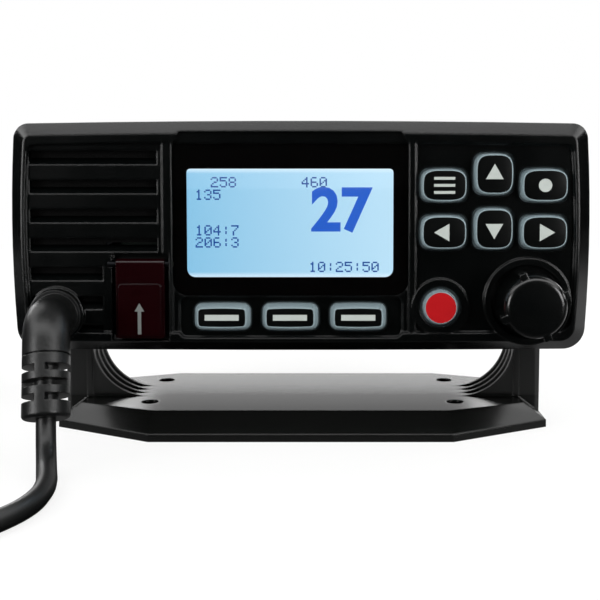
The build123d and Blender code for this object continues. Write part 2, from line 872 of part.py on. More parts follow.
# --- rear housing ----------------------------------------------------------------------------
def make_housing():
    """A cast case with a flange, side bosses, cooling fins and board posts."""
    zs = (housing_bottom, housing_top)
    body = block(around(0, housing_half), zs, housing_rear, rear_flange, housing_corner)
    body += slab(bezel_outline(flange_inset, flange_inset, flange_inset), rear_flange, bezel_rear)
    cavity_rear = housing_rear + housing_rear_wall
    cavity_xs = around(0, housing_half - housing_wall)
    inner_corner = housing_corner - housing_wall
    body -= block(cavity_xs, grown(zs, -housing_wall), cavity_rear, bezel_rear, inner_corner)
    body -= slab(gasket_face(), bezel_rear - gasket_thick, bezel_rear)
    post_bottom = housing_bottom + housing_wall / 2
    post = Cylinder(standoff_radius, main_board_z - post_bottom)
    for x in around(0, main_board_half - standoff_inset):
        for depth in grown(main_board_depth, -standoff_inset):
            body += Pos(x, -depth, (main_board_z + post_bottom) / 2) * post
    for side in (-1, 1):
        body = side_boss(body, side)
    for x, z in screw_spots():
        body -= disc(x, z, screw_radius + screw_clear, rear_flange, bezel_rear)
        body -= disc(x, z, screw_head_radius + screw_clear, rear_flange, rear_flange + screw_head_sink)
    pitch = (2 * fin_half - fin_thick) / (fin_count - 1)
    for step in range(fin_count):
        middle = -fin_half + fin_thick / 2 + step * pitch
        body += extrude(Plane.YZ.offset(middle - fin_thick / 2) * fin_face(), fin_thick)
    return body


def side_boss(body, side):
    """The housing with one side boss added, and the hole of its thread insert cut."""
    boss = bar(0, pivot_z, side_boss_radius, housing_half - housing_wall, boss_end)
    boss_root = boss_end - insert_length - insert_floor
    boss += bar(0, pivot_z, insert_radius + insert_wall, boss_root, housing_half)
    hole = bar(0, pivot_z, insert_radius, boss_end - insert_length, boss_end)
    if side < 0:
        boss, hole = mirror(boss, Plane.YZ), mirror(hole, Plane.YZ)
    return body + boss - hole


def fin_face():
    """The side view of one cooling fin, its ends leaning in towards its tip."""
    root, tip = -housing_rear - fin_root, -housing_rear + fin_height
    low, high = housing_bottom + fin_margin, housing_top - fin_margin
    corners = [(root, low), (tip, low + fin_lean), (tip, high - fin_lean), (root, high)]
    return make_face(Polyline(corners, close=True))


def gasket_face():
    """The ring between flange and bezel where the gasket lies."""
    wide = gasket_inset + gasket_width
    return bezel_outline(gasket_inset, gasket_inset, gasket_inset) - bezel_outline(wide, wide, wide)


def make_screws():
    """The four case screws, their heads sunk in the flange, threaded into the bezel's bosses."""
    seat = rear_flange + screw_head_sink
    screws = []
    for x, z in screw_spots():
        head = disc(x, z, screw_head_radius, seat - screw_head, seat)
        head = fillet(head.faces().sort_by(Axis.Y)[-1].edges(), screw_head_round)
        screws.append(head + disc(x, z, screw_radius, seat, wall_back - screw_end_gap))
    return Compound(children=screws)


def make_antenna_socket():
    """A square-flanged aerial socket with its insulator, out of the housing's back."""
    half = antenna_flange / 2
    neck = housing_rear - antenna_flange_thick
    end = neck - antenna_length
    xs, zs = around(antenna_x, half), around(antenna_z, half)
    shell = block(xs, zs, neck, housing_rear, antenna_flange_corner)
    shell += disc(antenna_x, antenna_z, antenna_radius, end, neck)
    shell -= disc(antenna_x, antenna_z, insulator_radius, end, housing_rear)
    face = end + insulator_rim
    core = disc(antenna_x, antenna_z, insulator_radius, face, housing_rear)
    core -= disc(antenna_x, antenna_z, contact_radius, face, face + contact_depth)
    return shell, core


def make_gland():
    """The power cable's gland: a six-sided nut, a round sleeve, and the cable's blind seat."""
    sleeve_rear = housing_rear - gland_length
    nut_rear = housing_rear - gland_nut_length
    nut = slab(Pos(gland_x, gland_z) * RegularPolygon(gland_nut_radius, 6), nut_rear, housing_rear)
    nut += disc(gland_x, gland_z, gland_radius, sleeve_rear, nut_rear)
    nut = fillet(nut.faces().sort_by(Axis.Y)[-1].edges(), gland_round)
    return nut - disc(gland_x, gland_z, gland_dimple, sleeve_rear, sleeve_rear + gland_dimple_depth)


# --- microphone lead -------------------------------------------------------------------------
def boot_line():
    """The boot's straight line: its knee, where the elbow would turn sharply, and its end."""
    knee = Vector(socket_x + elbow_shift, -panel_depth - socket_height - elbow_reach, socket_z)
    return knee, knee + Vector(*boot_drop)


def make_boot():
    """The elbow, bent down and forwards from its socket, and its strain relief of crossed slots."""
    socket_front = panel_depth + socket_height
    start = Vector(socket_x, -socket_front, socket_z)
    knee, end = boot_line()
    path = FilletPolyline(start, knee, end, radius=elbow_bend)
    down = (end - knee).normalized()
    boot = sweep(Plane(start, z_dir=knee - start) * Circle(elbow_radius), path=path)
    boot = fillet(boot.faces().sort_by(Axis.Z)[0].edges(), boot_end_round)
    boot -= disc(socket_x, socket_z, 2 * socket_radius, wall_back, socket_front)
    boot += disc(socket_x, socket_z, stub_radius, wall_back - stub_tail, socket_front)
    boot += disc(socket_x, socket_z, boot_flare_radius, socket_front, socket_front + boot_flare_thick)
    groove = Plane(knee + down * boot_groove, z_dir=down)
    ring = groove * (Circle(2 * elbow_radius) - Circle(elbow_radius - boot_groove_depth))
    boot -= extrude(ring, boot_groove_width)
    for step in range(boot_slots):
        across = Plane(knee + down * (boot_slot_start + step * boot_slot_pitch), x_dir=(1, 0, 0), z_dir=down)
        web = Rot(0, 0, boot_turn + 90 * step) * Rectangle(boot_web, 4 * elbow_radius)
        slot = across * (Circle(2 * elbow_radius) - Circle(boot_core_radius) - web)
        boot -= extrude(slot, boot_slot_width)
    return boot


def tube(points):
    """A round cord along straight runs and arcs, with each arc as large as its runs allow."""
    spots = [Vector(*p) for p in points]
    runs = [b - a for a, b in zip(spots, spots[1:])]
    radii = []
    for before, after in zip(runs, runs[1:]):
        half_turn = radians(before.get_angle(after) / 2)
        radii.append(arc_share * min(before.length, after.length) / tan(half_turn))
    print("arc radii", [round(r, 1) for r in radii])
    path = FilletPolyline(*spots, radius=radii)
    made = sweep(Plane(spots[0], z_dir=runs[0]) * Circle(lead_radius), path=path)
    section = Circle(lead_radius).area
    print("tube length", round(path.length, 1), "volume over section", round(made.volume / section, 1))
    return made


def make_lead(boot, relief_solid):
    """The lead's drop from the boot, its run on the floor, its coil, and its way to the microphone."""
    outer, inner = coil_ring + coil_bundle / 2, coil_ring - coil_bundle / 2
    ring = Cylinder(outer, coil_bundle) - Cylinder(inner, coil_bundle)
    ring = Pos(coil_x, coil_y, coil_bundle / 2) * fillet(ring.edges(), coil_round)
    outer_turn = outer - lead_radius
    entry = (coil_x, coil_y - outer_turn, lead_radius + lead_floor_gap)
    mouth = boot_line()[1]
    whole = tube([(mouth.X, mouth.Y, mouth.Z), *lead_points, entry]) - ring - boot
    landing, onward = Vector(*lead_points[3]), Vector(*lead_points[4])
    across = Plane(landing, z_dir=onward - landing)
    drop = split(whole, bisect_by=across, keep=Keep.BOTTOM)
    run = split(whole, bisect_by=across, keep=Keep.TOP)
    relief = relief_mouth()
    left = (coil_x - outer_turn, coil_y, coil_bundle - lead_radius)
    tail = tube([left, *lead_tail_points, (relief.X, relief.Y, relief.Z)]) - ring - relief_solid
    return drop, run, ring, tail.solids().sort_by(SortBy.VOLUME)[-1]


# --- fist microphone -------------------------------------------------------------------------
def relief_mouth():
    """The end of the microphone's lead relief, where the lead goes in."""
    spot = mic_place * Pos(0, relief_seat - mic_length / 2 - relief_length, mic_back_thick)
    return spot.position


def mic_outline(inset):
    """The microphone's outline: wide at the top, narrow at the lead, with bowed sides."""
    top, foot, half = mic_top_width / 2 - inset, mic_foot_width / 2 - inset, mic_length / 2 - inset
    high, low = half - mic_top_crown, mic_foot_crown - half
    waist = (top + foot) / 2 - mic_side_bow
    face = make_face(
        [
            ThreePointArc((-top, high), (0, half), (top, high)),
            ThreePointArc((top, high), (waist, 0), (foot, low)),
            ThreePointArc((foot, low), (0, -half), (-foot, low)),
            ThreePointArc((-foot, low), (-waist, 0), (-top, high)),
        ]
    )
    return fillet(face.vertices(), mic_corner - inset)


def mic_shells(relief):
    """The back and front shells, hollow inside, cut round the lead's relief."""
    back = extrude(mic_outline(0), mic_back_thick)
    back = fillet(back.faces().sort_by(Axis.Z)[0].edges(), mic_back_round)
    front = extrude(Pos(0, 0, mic_back_thick) * mic_outline(0), mic_front_thick)
    front = fillet(front.faces().sort_by(Axis.Z)[-1].edges(), mic_front_round)
    inner = extrude(Pos(0, 0, mic_wall) * mic_outline(mic_wall), mic_full - 2 * mic_wall)
    slot = SlotOverall(mic_slot_length, mic_slot_width)
    for spot in GridLocations(0, mic_slot_pitch, 1, mic_grille_slots):
        front -= extrude(Pos(0, mic_slot_y, mic_full - mic_slot_depth) * spot * slot, mic_slot_depth)
    return back - inner - relief, front - inner - relief


def talk_key_and_well():
    """The long talk key in the microphone's side, and the hole that it moves in."""
    side = -(mic_top_width + mic_foot_width) / 4
    middle_z = mic_back_thick + key_gap + talk_width / 2
    key = Box(talk_proud + talk_sunk, talk_length, talk_width)
    key = Pos(side + (talk_sunk - talk_proud) / 2, talk_y, middle_z) * key
    reach = talk_sunk + talk_travel + key_gap
    well = Box(2 * reach, talk_length + 2 * key_gap, talk_width + 2 * key_gap)
    return fillet(key.faces().sort_by(Axis.X)[0].edges(), talk_round), Pos(side, talk_y, middle_z) * well


def make_microphone():
    """The microphone's pieces, each put where it lies."""
    neck = Plane(Vector(0, relief_seat - mic_length / 2, mic_back_thick), z_dir=(0, -1, 0))
    mouth = neck.offset(relief_length)
    relief = loft([neck * Circle(relief_radius), mouth * Circle(lead_radius + relief_wall)], ruled=True)
    back, front = mic_shells(relief)
    talk, well = talk_key_and_well()
    front -= well
    outline = RectangleRounded(mic_key_width, mic_key_depth, mic_key_corner)
    hole = RectangleRounded(mic_key_width + 2 * key_gap, mic_key_depth + 2 * key_gap, mic_key_corner)
    keys = []
    for x in (-channel_x, channel_x):
        front -= extrude(Pos(x, channel_y, mic_full - mic_wall) * hole, mic_wall)
        seat = Pos(x, channel_y, mic_full - mic_key_sunk)
        keys.append(extrude(seat * outline, mic_key_sunk + mic_key_proud))
    hang = Pos(0, hang_y, -hang_height / 2) * Cylinder(hang_neck_radius, hang_height)
    hang += Pos(0, hang_y, -hang_height + hang_head / 2) * Cylinder(hang_radius, hang_head)
    capsule = Pos(0, mic_slot_y, mic_full - mic_wall - capsule_thick / 2)
    made = {
        "mic_front_shell": front,
        "mic_back_shell": back,
        "mic_talk_key": talk,
        "mic_key_down": keys[0],
        "mic_key_up": keys[1],
        "mic_hang_button": hang,
        "mic_capsule": capsule * Cylinder(capsule_radius, capsule_thick),
        "mic_lead_relief": relief,
    }
    return {name: mic_place * solid for name, solid in made.items()}


# --- the whole set ---------------------------------------------------------------------------
parts["mounting_bracket"] = make_bracket()
for side, word in ((-1, "left"), (1, "right")):
    knob, stud, washer = make_side(side)
    parts[f"bracket_knob_{word}"] = knob
    parts[f"knob_stud_{word}"] = stud
    parts[f"gimbal_washer_{word}"] = washer
parts["housing_inserts"] = make_inserts()
parts["front_bezel"] = make_bezel()
parts["rear_housing"] = make_housing()
parts["front_gasket"] = slab(gasket_face(), bezel_rear - gasket_thick, bezel_rear)
parts["case_screws"] = make_screws()
parts["display_window"], parts["lcd_panel"], parts["lcd_backlight"] = make_display()
for name in pad_keys:
    parts[name] = key_solid(pad_key_outline(name), panel_depth + key_proud)
for name in soft_key_x:
    parts[name] = key_solid(soft_key_outline(name), panel_depth - soft_well_depth + key_proud)
channel_spot = Pos(channel_key_x, channel_key_z)
parts["channel_key"] = key_solid(
    lambda grow: channel_spot * Circle(channel_key_radius + grow), panel_depth + key_proud
)
parts["volume_knob"], parts["encoder_shaft"] = make_volume_knob()
parts["encoder"] = make_encoder()
parts["distress_cover"], parts["cover_pin"] = make_cover()
parts["distress_button"] = make_distress_button()
parts["speaker_mesh"] = make_mesh()
parts["speaker_basket"], parts["speaker_cone"], parts["speaker_magnet"] = make_speaker()
parts["key_mat"], parts["front_board"] = make_mat_and_board()
parts["main_board"], parts["shield_can"] = make_main_board()
parts["antenna_socket"], parts["antenna_insulator"] = make_antenna_socket()
parts["power_gland"] = make_gland()
parts["mic_lead_boot"] = make_boot()
parts.update(make_microphone())
lead = make_lead(parts["mic_lead_boot"], parts["mic_lead_relief"])
parts["mic_lead_drop"], parts["mic_lead_run"], parts["mic_lead_coil"], parts["mic_lead_tail"] = lead

os.makedirs("parts", exist_ok=True)
for name, solid in parts.items():
    export_step(solid, f"parts/{name}.step")
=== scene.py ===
# Fixed-mount marine radio on its gimbal bracket, with its fist microphone: the finish of every piece.
#
# Sizes are in millimetres and become metres through mm. +X is the viewer's right, the front faces -Y
# and +Z is up. The origin is the middle of the bracket's foot, on the surface that it stands on.

from math import copysign, cos, pi, radians, sin

import bmesh
import bpy
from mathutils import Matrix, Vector


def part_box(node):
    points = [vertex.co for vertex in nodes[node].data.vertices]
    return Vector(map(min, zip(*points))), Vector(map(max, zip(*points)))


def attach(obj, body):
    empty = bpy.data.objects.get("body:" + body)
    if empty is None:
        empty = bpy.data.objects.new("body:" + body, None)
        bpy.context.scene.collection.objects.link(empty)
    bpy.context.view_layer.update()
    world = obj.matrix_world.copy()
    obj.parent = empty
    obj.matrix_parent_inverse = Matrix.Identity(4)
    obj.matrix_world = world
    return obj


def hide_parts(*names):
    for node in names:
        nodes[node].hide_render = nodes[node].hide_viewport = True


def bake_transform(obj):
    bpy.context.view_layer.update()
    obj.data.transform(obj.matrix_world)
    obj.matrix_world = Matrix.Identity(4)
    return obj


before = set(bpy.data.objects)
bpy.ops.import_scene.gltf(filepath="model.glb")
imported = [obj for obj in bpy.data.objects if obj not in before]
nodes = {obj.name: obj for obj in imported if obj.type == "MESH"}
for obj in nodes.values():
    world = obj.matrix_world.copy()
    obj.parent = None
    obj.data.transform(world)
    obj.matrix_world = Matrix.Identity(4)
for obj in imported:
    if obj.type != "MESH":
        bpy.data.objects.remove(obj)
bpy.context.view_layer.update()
mm = 0.001


# === The set: camera, floor and light ==========================================================
# A seamless pale table under wide soft lamps above, behind, in front and at both sides, as for a
# product picture. Between the lamps the room is dark, so that black plastic stays black.
eye_right, eye_back, eye_height = 9.4, 312.0, 80.2
eye_pitch = 3.5
eye_lens = 58.75
eye_shift_x, eye_shift_y = -0.0553, -0.126
nearest_seen = 5.0
floor_half = 3000.0
near_white, far_white = 0.82, 1.0
near_radius, far_radius = 200.0, 700.0
dark_edge, light_edge = -90.0, 130.0
near_side, far_side = 200.0, 550.0
world_fill = 0.2
glow_from, glow_to = 0.3, 0.85
least_glow, most_glow = 0.012, 0.88
side_fall = 1.3


def linear(text):
    """An sRGB hex colour as the linear colour that a shader takes."""
    parts = [int(text[i : i + 2], 16) / 255 for i in (1, 3, 5)]
    return (*[c / 12.92 if c <= 0.04045 else ((c + 0.055) / 1.055) ** 2.4 for c in parts], 1.0)


def add(tree, kind, settings=None, links=None):
    """Adds a node: settings are its inputs by name or number, or its properties; links feed inputs."""
    node = tree.nodes.new(kind)
    for name, value in (settings or {}).items():
        if isinstance(name, int) or name in node.inputs:
            node.inputs[name].default_value = value
        else:
            setattr(node, name, value)
    for name, socket in (links or {}).items():
        tree.links.new(socket, node.inputs[name])
    return node


def background_rays(tree):
    """1 for the rays that see the plain background, straight or through glass, and 1 for mirror rays."""
    path = add(tree, "ShaderNodeLightPath").outputs
    direct, through = path["Is Camera Ray"], path["Is Transmission Ray"]
    seen = add(tree, "ShaderNodeMath", {"operation": "MAXIMUM"}, {0: direct, 1: through})
    return seen.outputs[0], path["Is Glossy Ray"]


camera = bpy.data.objects.new("camera", bpy.data.cameras.new("camera"))
camera.location = (eye_right * mm, -eye_back * mm, eye_height * mm)
camera.rotation_euler = (radians(90 - eye_pitch), 0, 0)
camera.data.lens = eye_lens
camera.data.shift_x = eye_shift_x
camera.data.shift_y = eye_shift_y
camera.data.clip_start = nearest_seen * mm
bpy.context.scene.collection.objects.link(camera)
bpy.context.scene.camera = camera
bpy.context.scene.view_settings.view_transform = "Standard"

# The room is plain white to the eye. Glossy pieces mirror only a soft glow behind the object, which
# fades upwards, to the front and to both sides.
world = bpy.data.worlds.new("studio")
world.use_nodes = True
bpy.context.scene.world = world
tree = world.node_tree
tree.nodes.clear()
seen, glossy = background_rays(tree)
sky = add(tree, "ShaderNodeTexCoord").outputs["Generated"]
split = add(tree, "ShaderNodeSeparateXYZ", links={0: sky}).outputs
aside = add(tree, "ShaderNodeMath", {"operation": "MULTIPLY"}, {0: split["X"], 1: split["X"]})
fall = {"operation": "MULTIPLY_ADD", 1: -side_fall}
ahead = add(tree, "ShaderNodeMath", fall, {0: aside.outputs[0], 2: split["Y"]})
glow = add(
    tree,
    "ShaderNodeMapRange",
    {
        "interpolation_type": "SMOOTHSTEP",
        "From Min": glow_from,
        "From Max": glow_to,
        "To Min": least_glow,
        "To Max": most_glow,
    },
    {"Value": ahead.outputs[0]},
)
fill = {"data_type": "FLOAT", 2: world_fill}
level = add(tree, "ShaderNodeMix", fill, {0: glossy, 3: glow.outputs[0]})
strength = add(tree, "ShaderNodeMix", {"data_type": "FLOAT", 3: 1.0}, {0: seen, 2: level.outputs[0]})
room = add(tree, "ShaderNodeBackground", {"Color": linear("#ffffff")}, {"Strength": strength.outputs[0]})
add(tree, "ShaderNodeOutputWorld", links={"Surface": room.outputs[0]})

# The table is matt white paper that whitens away from the object. What mirrors it sees it white
# behind the object and dark in front and far aside.
bpy.ops.object.select_all(action="DESELECT")
bpy.ops.mesh.primitive_plane_add(size=2 * floor_half * mm)
floor = bpy.context.object
floor.name = "floor"
paper = bpy.data.materials.new("seamless paper")
paper.use_nodes = True
tree = paper.node_tree
tree.nodes.clear()
seen, glossy = background_rays(tree)
place = add(tree, "ShaderNodeTexCoord").outputs["Object"]
spot = add(tree, "ShaderNodeSeparateXYZ", links={0: place}).outputs
behind = add(
    tree,
    "ShaderNodeMapRange",
    {"interpolation_type": "SMOOTHSTEP", "From Min": dark_edge * mm, "From Max": light_edge * mm},
    {"Value": spot["Y"]},
)
aside = add(tree, "ShaderNodeMath", {"operation": "ABSOLUTE"}, {0: spot["X"]})
middle_share = add(
    tree,
    "ShaderNodeMapRange",
    {
        "interpolation_type": "SMOOTHSTEP",
        "From Min": near_side * mm,
        "From Max": far_side * mm,
        "To Min": 1.0,
        "To Max": 0.0,
    },
    {"Value": aside.outputs[0]},
)
mirrored_white = add(
    tree,
    "ShaderNodeMath",
    {"operation": "MULTIPLY"},
    {0: behind.outputs[0], 1: middle_share.outputs[0]},
)
sheet = add(tree, "ShaderNodeBsdfDiffuse", {"Color": linear("#f4f4f2")})
shine = add(tree, "ShaderNodeEmission", {"Color": linear("#ffffff")})
away = add(tree, "ShaderNodeVectorMath", {"operation": "LENGTH"}, {0: place}).outputs["Value"]
fade = add(
    tree,
    "ShaderNodeMapRange",
    {
        "From Min": near_radius * mm,
        "From Max": far_radius * mm,
        "To Min": near_white,
        "To Max": far_white,
    },
    {"Value": away},
)
whitened = {0: fade.outputs[0], 1: sheet.outputs[0], 2: shine.outputs[0]}
bright = add(tree, "ShaderNodeMixShader", links=whitened)
mirrored = add(
    tree,
    "ShaderNodeEmission",
    {"Color": linear("#ffffff")},
    {"Strength": mirrored_white.outputs[0]},
)
shown = add(tree, "ShaderNodeMixShader", links={0: seen, 1: sheet.outputs[0], 2: bright.outputs[0]})
table = add(tree, "ShaderNodeMixShader", links={0: glossy, 1: shown.outputs[0], 2: mirrored.outputs[0]})
add(tree, "ShaderNodeOutputMaterial", links={"Surface": table.outputs[0]})
floor.data.materials.append(paper)


def soft_lamp(name, place, target, width, depth, watts):
    """A rectangular soft lamp that points at a spot, its places and sizes in millimetres."""
    lamp = bpy.data.objects.new(name, bpy.data.lights.new(name, "AREA"))
    lamp.data.shape = "RECTANGLE"
    lamp.data.size, lamp.data.size_y = width * mm, depth * mm
    lamp.data.energy = watts
    lamp.location = Vector(place) * mm
    lamp.rotation_euler = (Vector(target) - Vector(place)).to_track_quat("-Z", "Y").to_euler()
    bpy.context.scene.collection.objects.link(lamp)


# Each lamp has its name, its place and what it points at, its width and depth, and its watts.
lamps = [
    ("lamp_above", (0, 352, 750), (0, 352.1, 60), 2600, 370, 6.6),
    ("lamp_behind", (0, 800, 400), (0, 0, 60), 2200, 240, 9.0),
    ("lamp_front", (0, -480, 720), (0, 0, 60), 2200, 360, 8.5),
    ("lamp_left", (-600, -540, 100), (0, 0, 60), 300, 450, 3.8),
    ("lamp_right", (600, -540, 100), (0, 0, 60), 300, 450, 3.8),
    ("lamp_high_left", (-880, -110, 750), (0, 0, 20), 460, 560, 1.6),
    ("lamp_high_right", (880, -110, 750), (0, 0, 20), 460, 560, 1.6),
]
for lamp in lamps:
    soft_lamp(*lamp)


# === Bracket ===================================================================================
# One moulding in glass-filled nylon: an eight-sided foot, two arms and ribbed gussets. It comes out
# of a spark-eroded tool: the foot is satin, and the arms and gussets above it are matt.
foot_top, matt_from = 8.0, 9.0
foot_gloss, arm_gloss = 0.24, 0.45
patch_width = 9.0
noise_low, noise_high = 0.3, 0.7


def finish(piece, *materials):
    """Gives a piece its materials, in the order of its slots."""
    piece.data.materials.clear()
    for material in materials:
        piece.data.materials.append(material)


def start_material(name, settings):
    """A new material with its principled shader set, ready for the nodes of its pattern."""
    material = bpy.data.materials.new(name)
    material.use_nodes = True
    shader = material.node_tree.nodes["Principled BSDF"]
    for socket, value in settings.items():
        shader.inputs[socket].default_value = value
    return material, material.node_tree, shader


def moulded(name, tone, worn_tone, roughness, grain, relief, edge, settings=None, patchy=0.02):
    """A moulded plastic or rubber: fine tool grain, small changes of gloss, and eased edges.

    Grain is the width of the tool's texture, relief its depth and edge the radius of the edges, in mm.
    The grain is drawn coarser than a real tool's, so that it shows.
    """
    material, tree, shader = start_material(name, {"Roughness": roughness, **(settings or {})})
    place = add(tree, "ShaderNodeTexCoord").outputs["Object"]
    spread = {"Scale": 1 / (patch_width * mm), "Detail": 3.0}
    patches = add(tree, "ShaderNodeTexNoise", spread, {"Vector": place})
    gloss = add(
        tree,
        "ShaderNodeMapRange",
        {
            "From Min": noise_low,
            "From Max": noise_high,
            "To Min": roughness - patchy,
            "To Max": roughness + patchy,
        },
        {"Value": patches.outputs[0]},
    )
    tree.links.new(gloss.outputs[0], shader.inputs["Roughness"])
    shade = add(
        tree,
        "ShaderNodeMix",
        {"data_type": "RGBA", 6: linear(tone), 7: linear(worn_tone)},
        {0: patches.outputs[0]},
    )
    tree.links.new(shade.outputs[2], shader.inputs["Base Color"])
    fine = {"Scale": 1 / (grain * mm), "Detail": 2.0}
    texture = add(tree, "ShaderNodeTexNoise", fine, {"Vector": place})
    eased = add(tree, "ShaderNodeBevel", {"samples": 6, "Radius": edge * mm})
    bump = add(
        tree,
        "ShaderNodeBump",
        {"Distance": relief * mm, "Strength": 1.0},
        {"Height": texture.outputs[0], "Normal": eased.outputs[0]},
    )
    tree.links.new(bump.outputs[0], shader.inputs["Normal"])
    return material


nylon = moulded(
    "glass-filled nylon",
    "#040504",
    "#060706",
    roughness=0.24,
    grain=0.8,
    relief=0.004,
    edge=0.75,
    patchy=0.004,
)
tree = nylon.node_tree
place = add(tree, "ShaderNodeTexCoord").outputs["Object"]
height = add(tree, "ShaderNodeSeparateXYZ", links={0: place}).outputs["Z"]
matt = add(
    tree,
    "ShaderNodeMapRange",
    {
        "From Min": foot_top * mm,
        "From Max": matt_from * mm,
        "To Min": foot_gloss,
        "To Max": arm_gloss,
    },
    {"Value": height},
)
tree.links.new(matt.outputs[0], tree.nodes["Principled BSDF"].inputs["Roughness"])
finish(nodes["mounting_bracket"], nylon)


# === Bracket knobs, studs and washers ==========================================================
# Lobed knobs moulded in acetal over zinc-plated steel studs, each with a soft rubber washer between
# the arm and the housing, and a turned brass insert in the housing for its thread.
film_width = 3.0
film_brighter, film_duller = 0.06, 0.1
metal_edge, metal_relief = 0.2, 0.02


def machined(name, tone, dull_tone, roughness, marks_width):
    """A machined or pressed metal: fine tool marks, eased edges and a slightly uneven plating.

    The marks are drawn coarser than real ones, so that they show.
    """
    material, tree, shader = start_material(name, {"Metallic": 1.0})
    place = add(tree, "ShaderNodeTexCoord").outputs["Object"]
    spread = {"Scale": 1 / (film_width * mm), "Detail": 4.0}
    film = add(tree, "ShaderNodeTexNoise", spread, {"Vector": place})
    shade = add(
        tree,
        "ShaderNodeMix",
        {"data_type": "RGBA", 6: linear(tone), 7: linear(dull_tone)},
        {0: film.outputs[0]},
    )
    tree.links.new(shade.outputs[2], shader.inputs["Base Color"])
    gloss = add(
        tree,
        "ShaderNodeMapRange",
        {"To Min": roughness - film_brighter, "To Max": roughness + film_duller},
        {"Value": film.outputs[0]},
    )
    tree.links.new(gloss.outputs[0], shader.inputs["Roughness"])
    fine = {"Scale": 1 / (marks_width * mm), "Detail": 1.0}
    marks = add(tree, "ShaderNodeTexNoise", fine, {"Vector": place})
    eased = add(tree, "ShaderNodeBevel", {"samples": 4, "Radius": metal_edge * mm})
    bump = add(
        tree,
        "ShaderNodeBump",
        {"Distance": metal_relief * mm, "Strength": 0.6},
        {"Height": marks.outputs[0], "Normal": eased.outputs[0]},
    )
    tree.links.new(bump.outputs[0], shader.inputs["Normal"])
    return material


# Acetal has a low waxy shine and rubber almost none. Zinc plating is a bright cool grey, and brass
# a warm yellow.
acetal = moulded("acetal", "#0d0f0f", "#121414", roughness=0.34, grain=0.7, relief=0.03, edge=0.4)
zinc_steel = machined("zinc-plated steel", "#b9bcbd", "#9a9d9f", roughness=0.32, marks_width=0.4)
brass = machined("free-cutting brass", "#c9a75a", "#a98a48", roughness=0.3, marks_width=0.4)
washer_rubber = moulded(
    "EPDM rubber", "#101111", "#181919", roughness=0.68, grain=0.6, relief=0.04, edge=0.3
)
for side in ("left", "right"):
    finish(nodes[f"bracket_knob_{side}"], acetal)
    finish(nodes[f"knob_stud_{side}"], zinc_steel)
    finish(nodes[f"gimbal_washer_{side}"], washer_rubber)
finish(nodes["housing_inserts"], brass)


# === Rear housing and what it holds ============================================================
# A die-cast aluminium case, powder coated black, with cooling fins, a cellular rubber gasket in the
# flange and four black screws. The boards inside are glass-epoxy with dark green solder resist.

# The coat is satin with a faint orange peel, and the gasket dull. Oxide on steel shines darkly, tin
# plate brightly, and the boards like varnish.
powder_coat = moulded(
    "black powder coat", "#0b0c0d", "#111213", roughness=0.5, grain=0.9, relief=0.08, edge=0.5
)
gasket_rubber = moulded(
    "cellular rubber", "#0c0c0c", "#151515", roughness=0.85, grain=0.5, relief=0.1, edge=0.2
)
black_steel = machined("black oxide steel", "#2b2c2e", "#1c1d1f", roughness=0.38, marks_width=0.3)
solder_resist = moulded(
    "solder resist on glass epoxy",
    "#04140c",
    "#061a10",
    roughness=0.4,
    grain=0.5,
    relief=0.03,
    edge=0.2,
)
tin_plate = machined("tin plate", "#c8cacb", "#aeb1b3", roughness=0.35, marks_width=0.8)
finish(nodes["rear_housing"], powder_coat)
finish(nodes["front_gasket"], gasket_rubber)
finish(nodes["case_screws"], black_steel)
for board in ("front_board", "main_board"):
    finish(nodes[board], solder_resist)
finish(nodes["shield_can"], tin_plate)


# === Antenna socket and power gland ============================================================
# The aerial socket is nickel-plated brass round a white PTFE insulator. The power cable's gland is
# moulded nylon with a six-sided nut, closed by a rubber bush.

# Nickel has a warm, nearly mirror shine, PTFE looks milky and nylon is a soft satin.
nickel = machined("nickel-plated brass", "#b8b3a8", "#98948a", roughness=0.26, marks_width=0.3)
ptfe = moulded(
    "PTFE",
    "#e8e6df",
    "#f2f1ec",
    roughness=0.5,
    grain=0.6,
    relief=0.02,
    edge=0.2,
    settings={"Subsurface Weight": 0.1},
)
gland_nylon = moulded(
    "black nylon", "#0d0e0f", "#141516", roughness=0.42, grain=0.7, relief=0.04, edge=0.3
)
finish(nodes["antenna_socket"], nickel)
finish(nodes["antenna_insulator"], ptfe)
finish(nodes["power_gland"], gland_nylon)


# === Front bezel ===============================================================================
# One moulding in black ABS and polycarbonate, with louvres, key holes and raised collars. Its tool
# was finely blasted, so it is satin, and its rims catch the light as thin lines.
bezel_plastic = moulded(
    "satin ABS", "#010202", "#020303", roughness=0.22, grain=0.7, relief=0.008, edge=0.8
)
finish(nodes["front_bezel"], bezel_plastic)


# === Speaker ===================================================================================
# Behind the louvres lies an acoustic cloth, plain-woven from polyester thread, which looks dead
# black. The speaker is a pressed steel basket in black, a dull treated paper cone and a grey ferrite
# magnet.
thread_pitch, thread_relief = 0.5, 0.1
wave_width = pi / 10


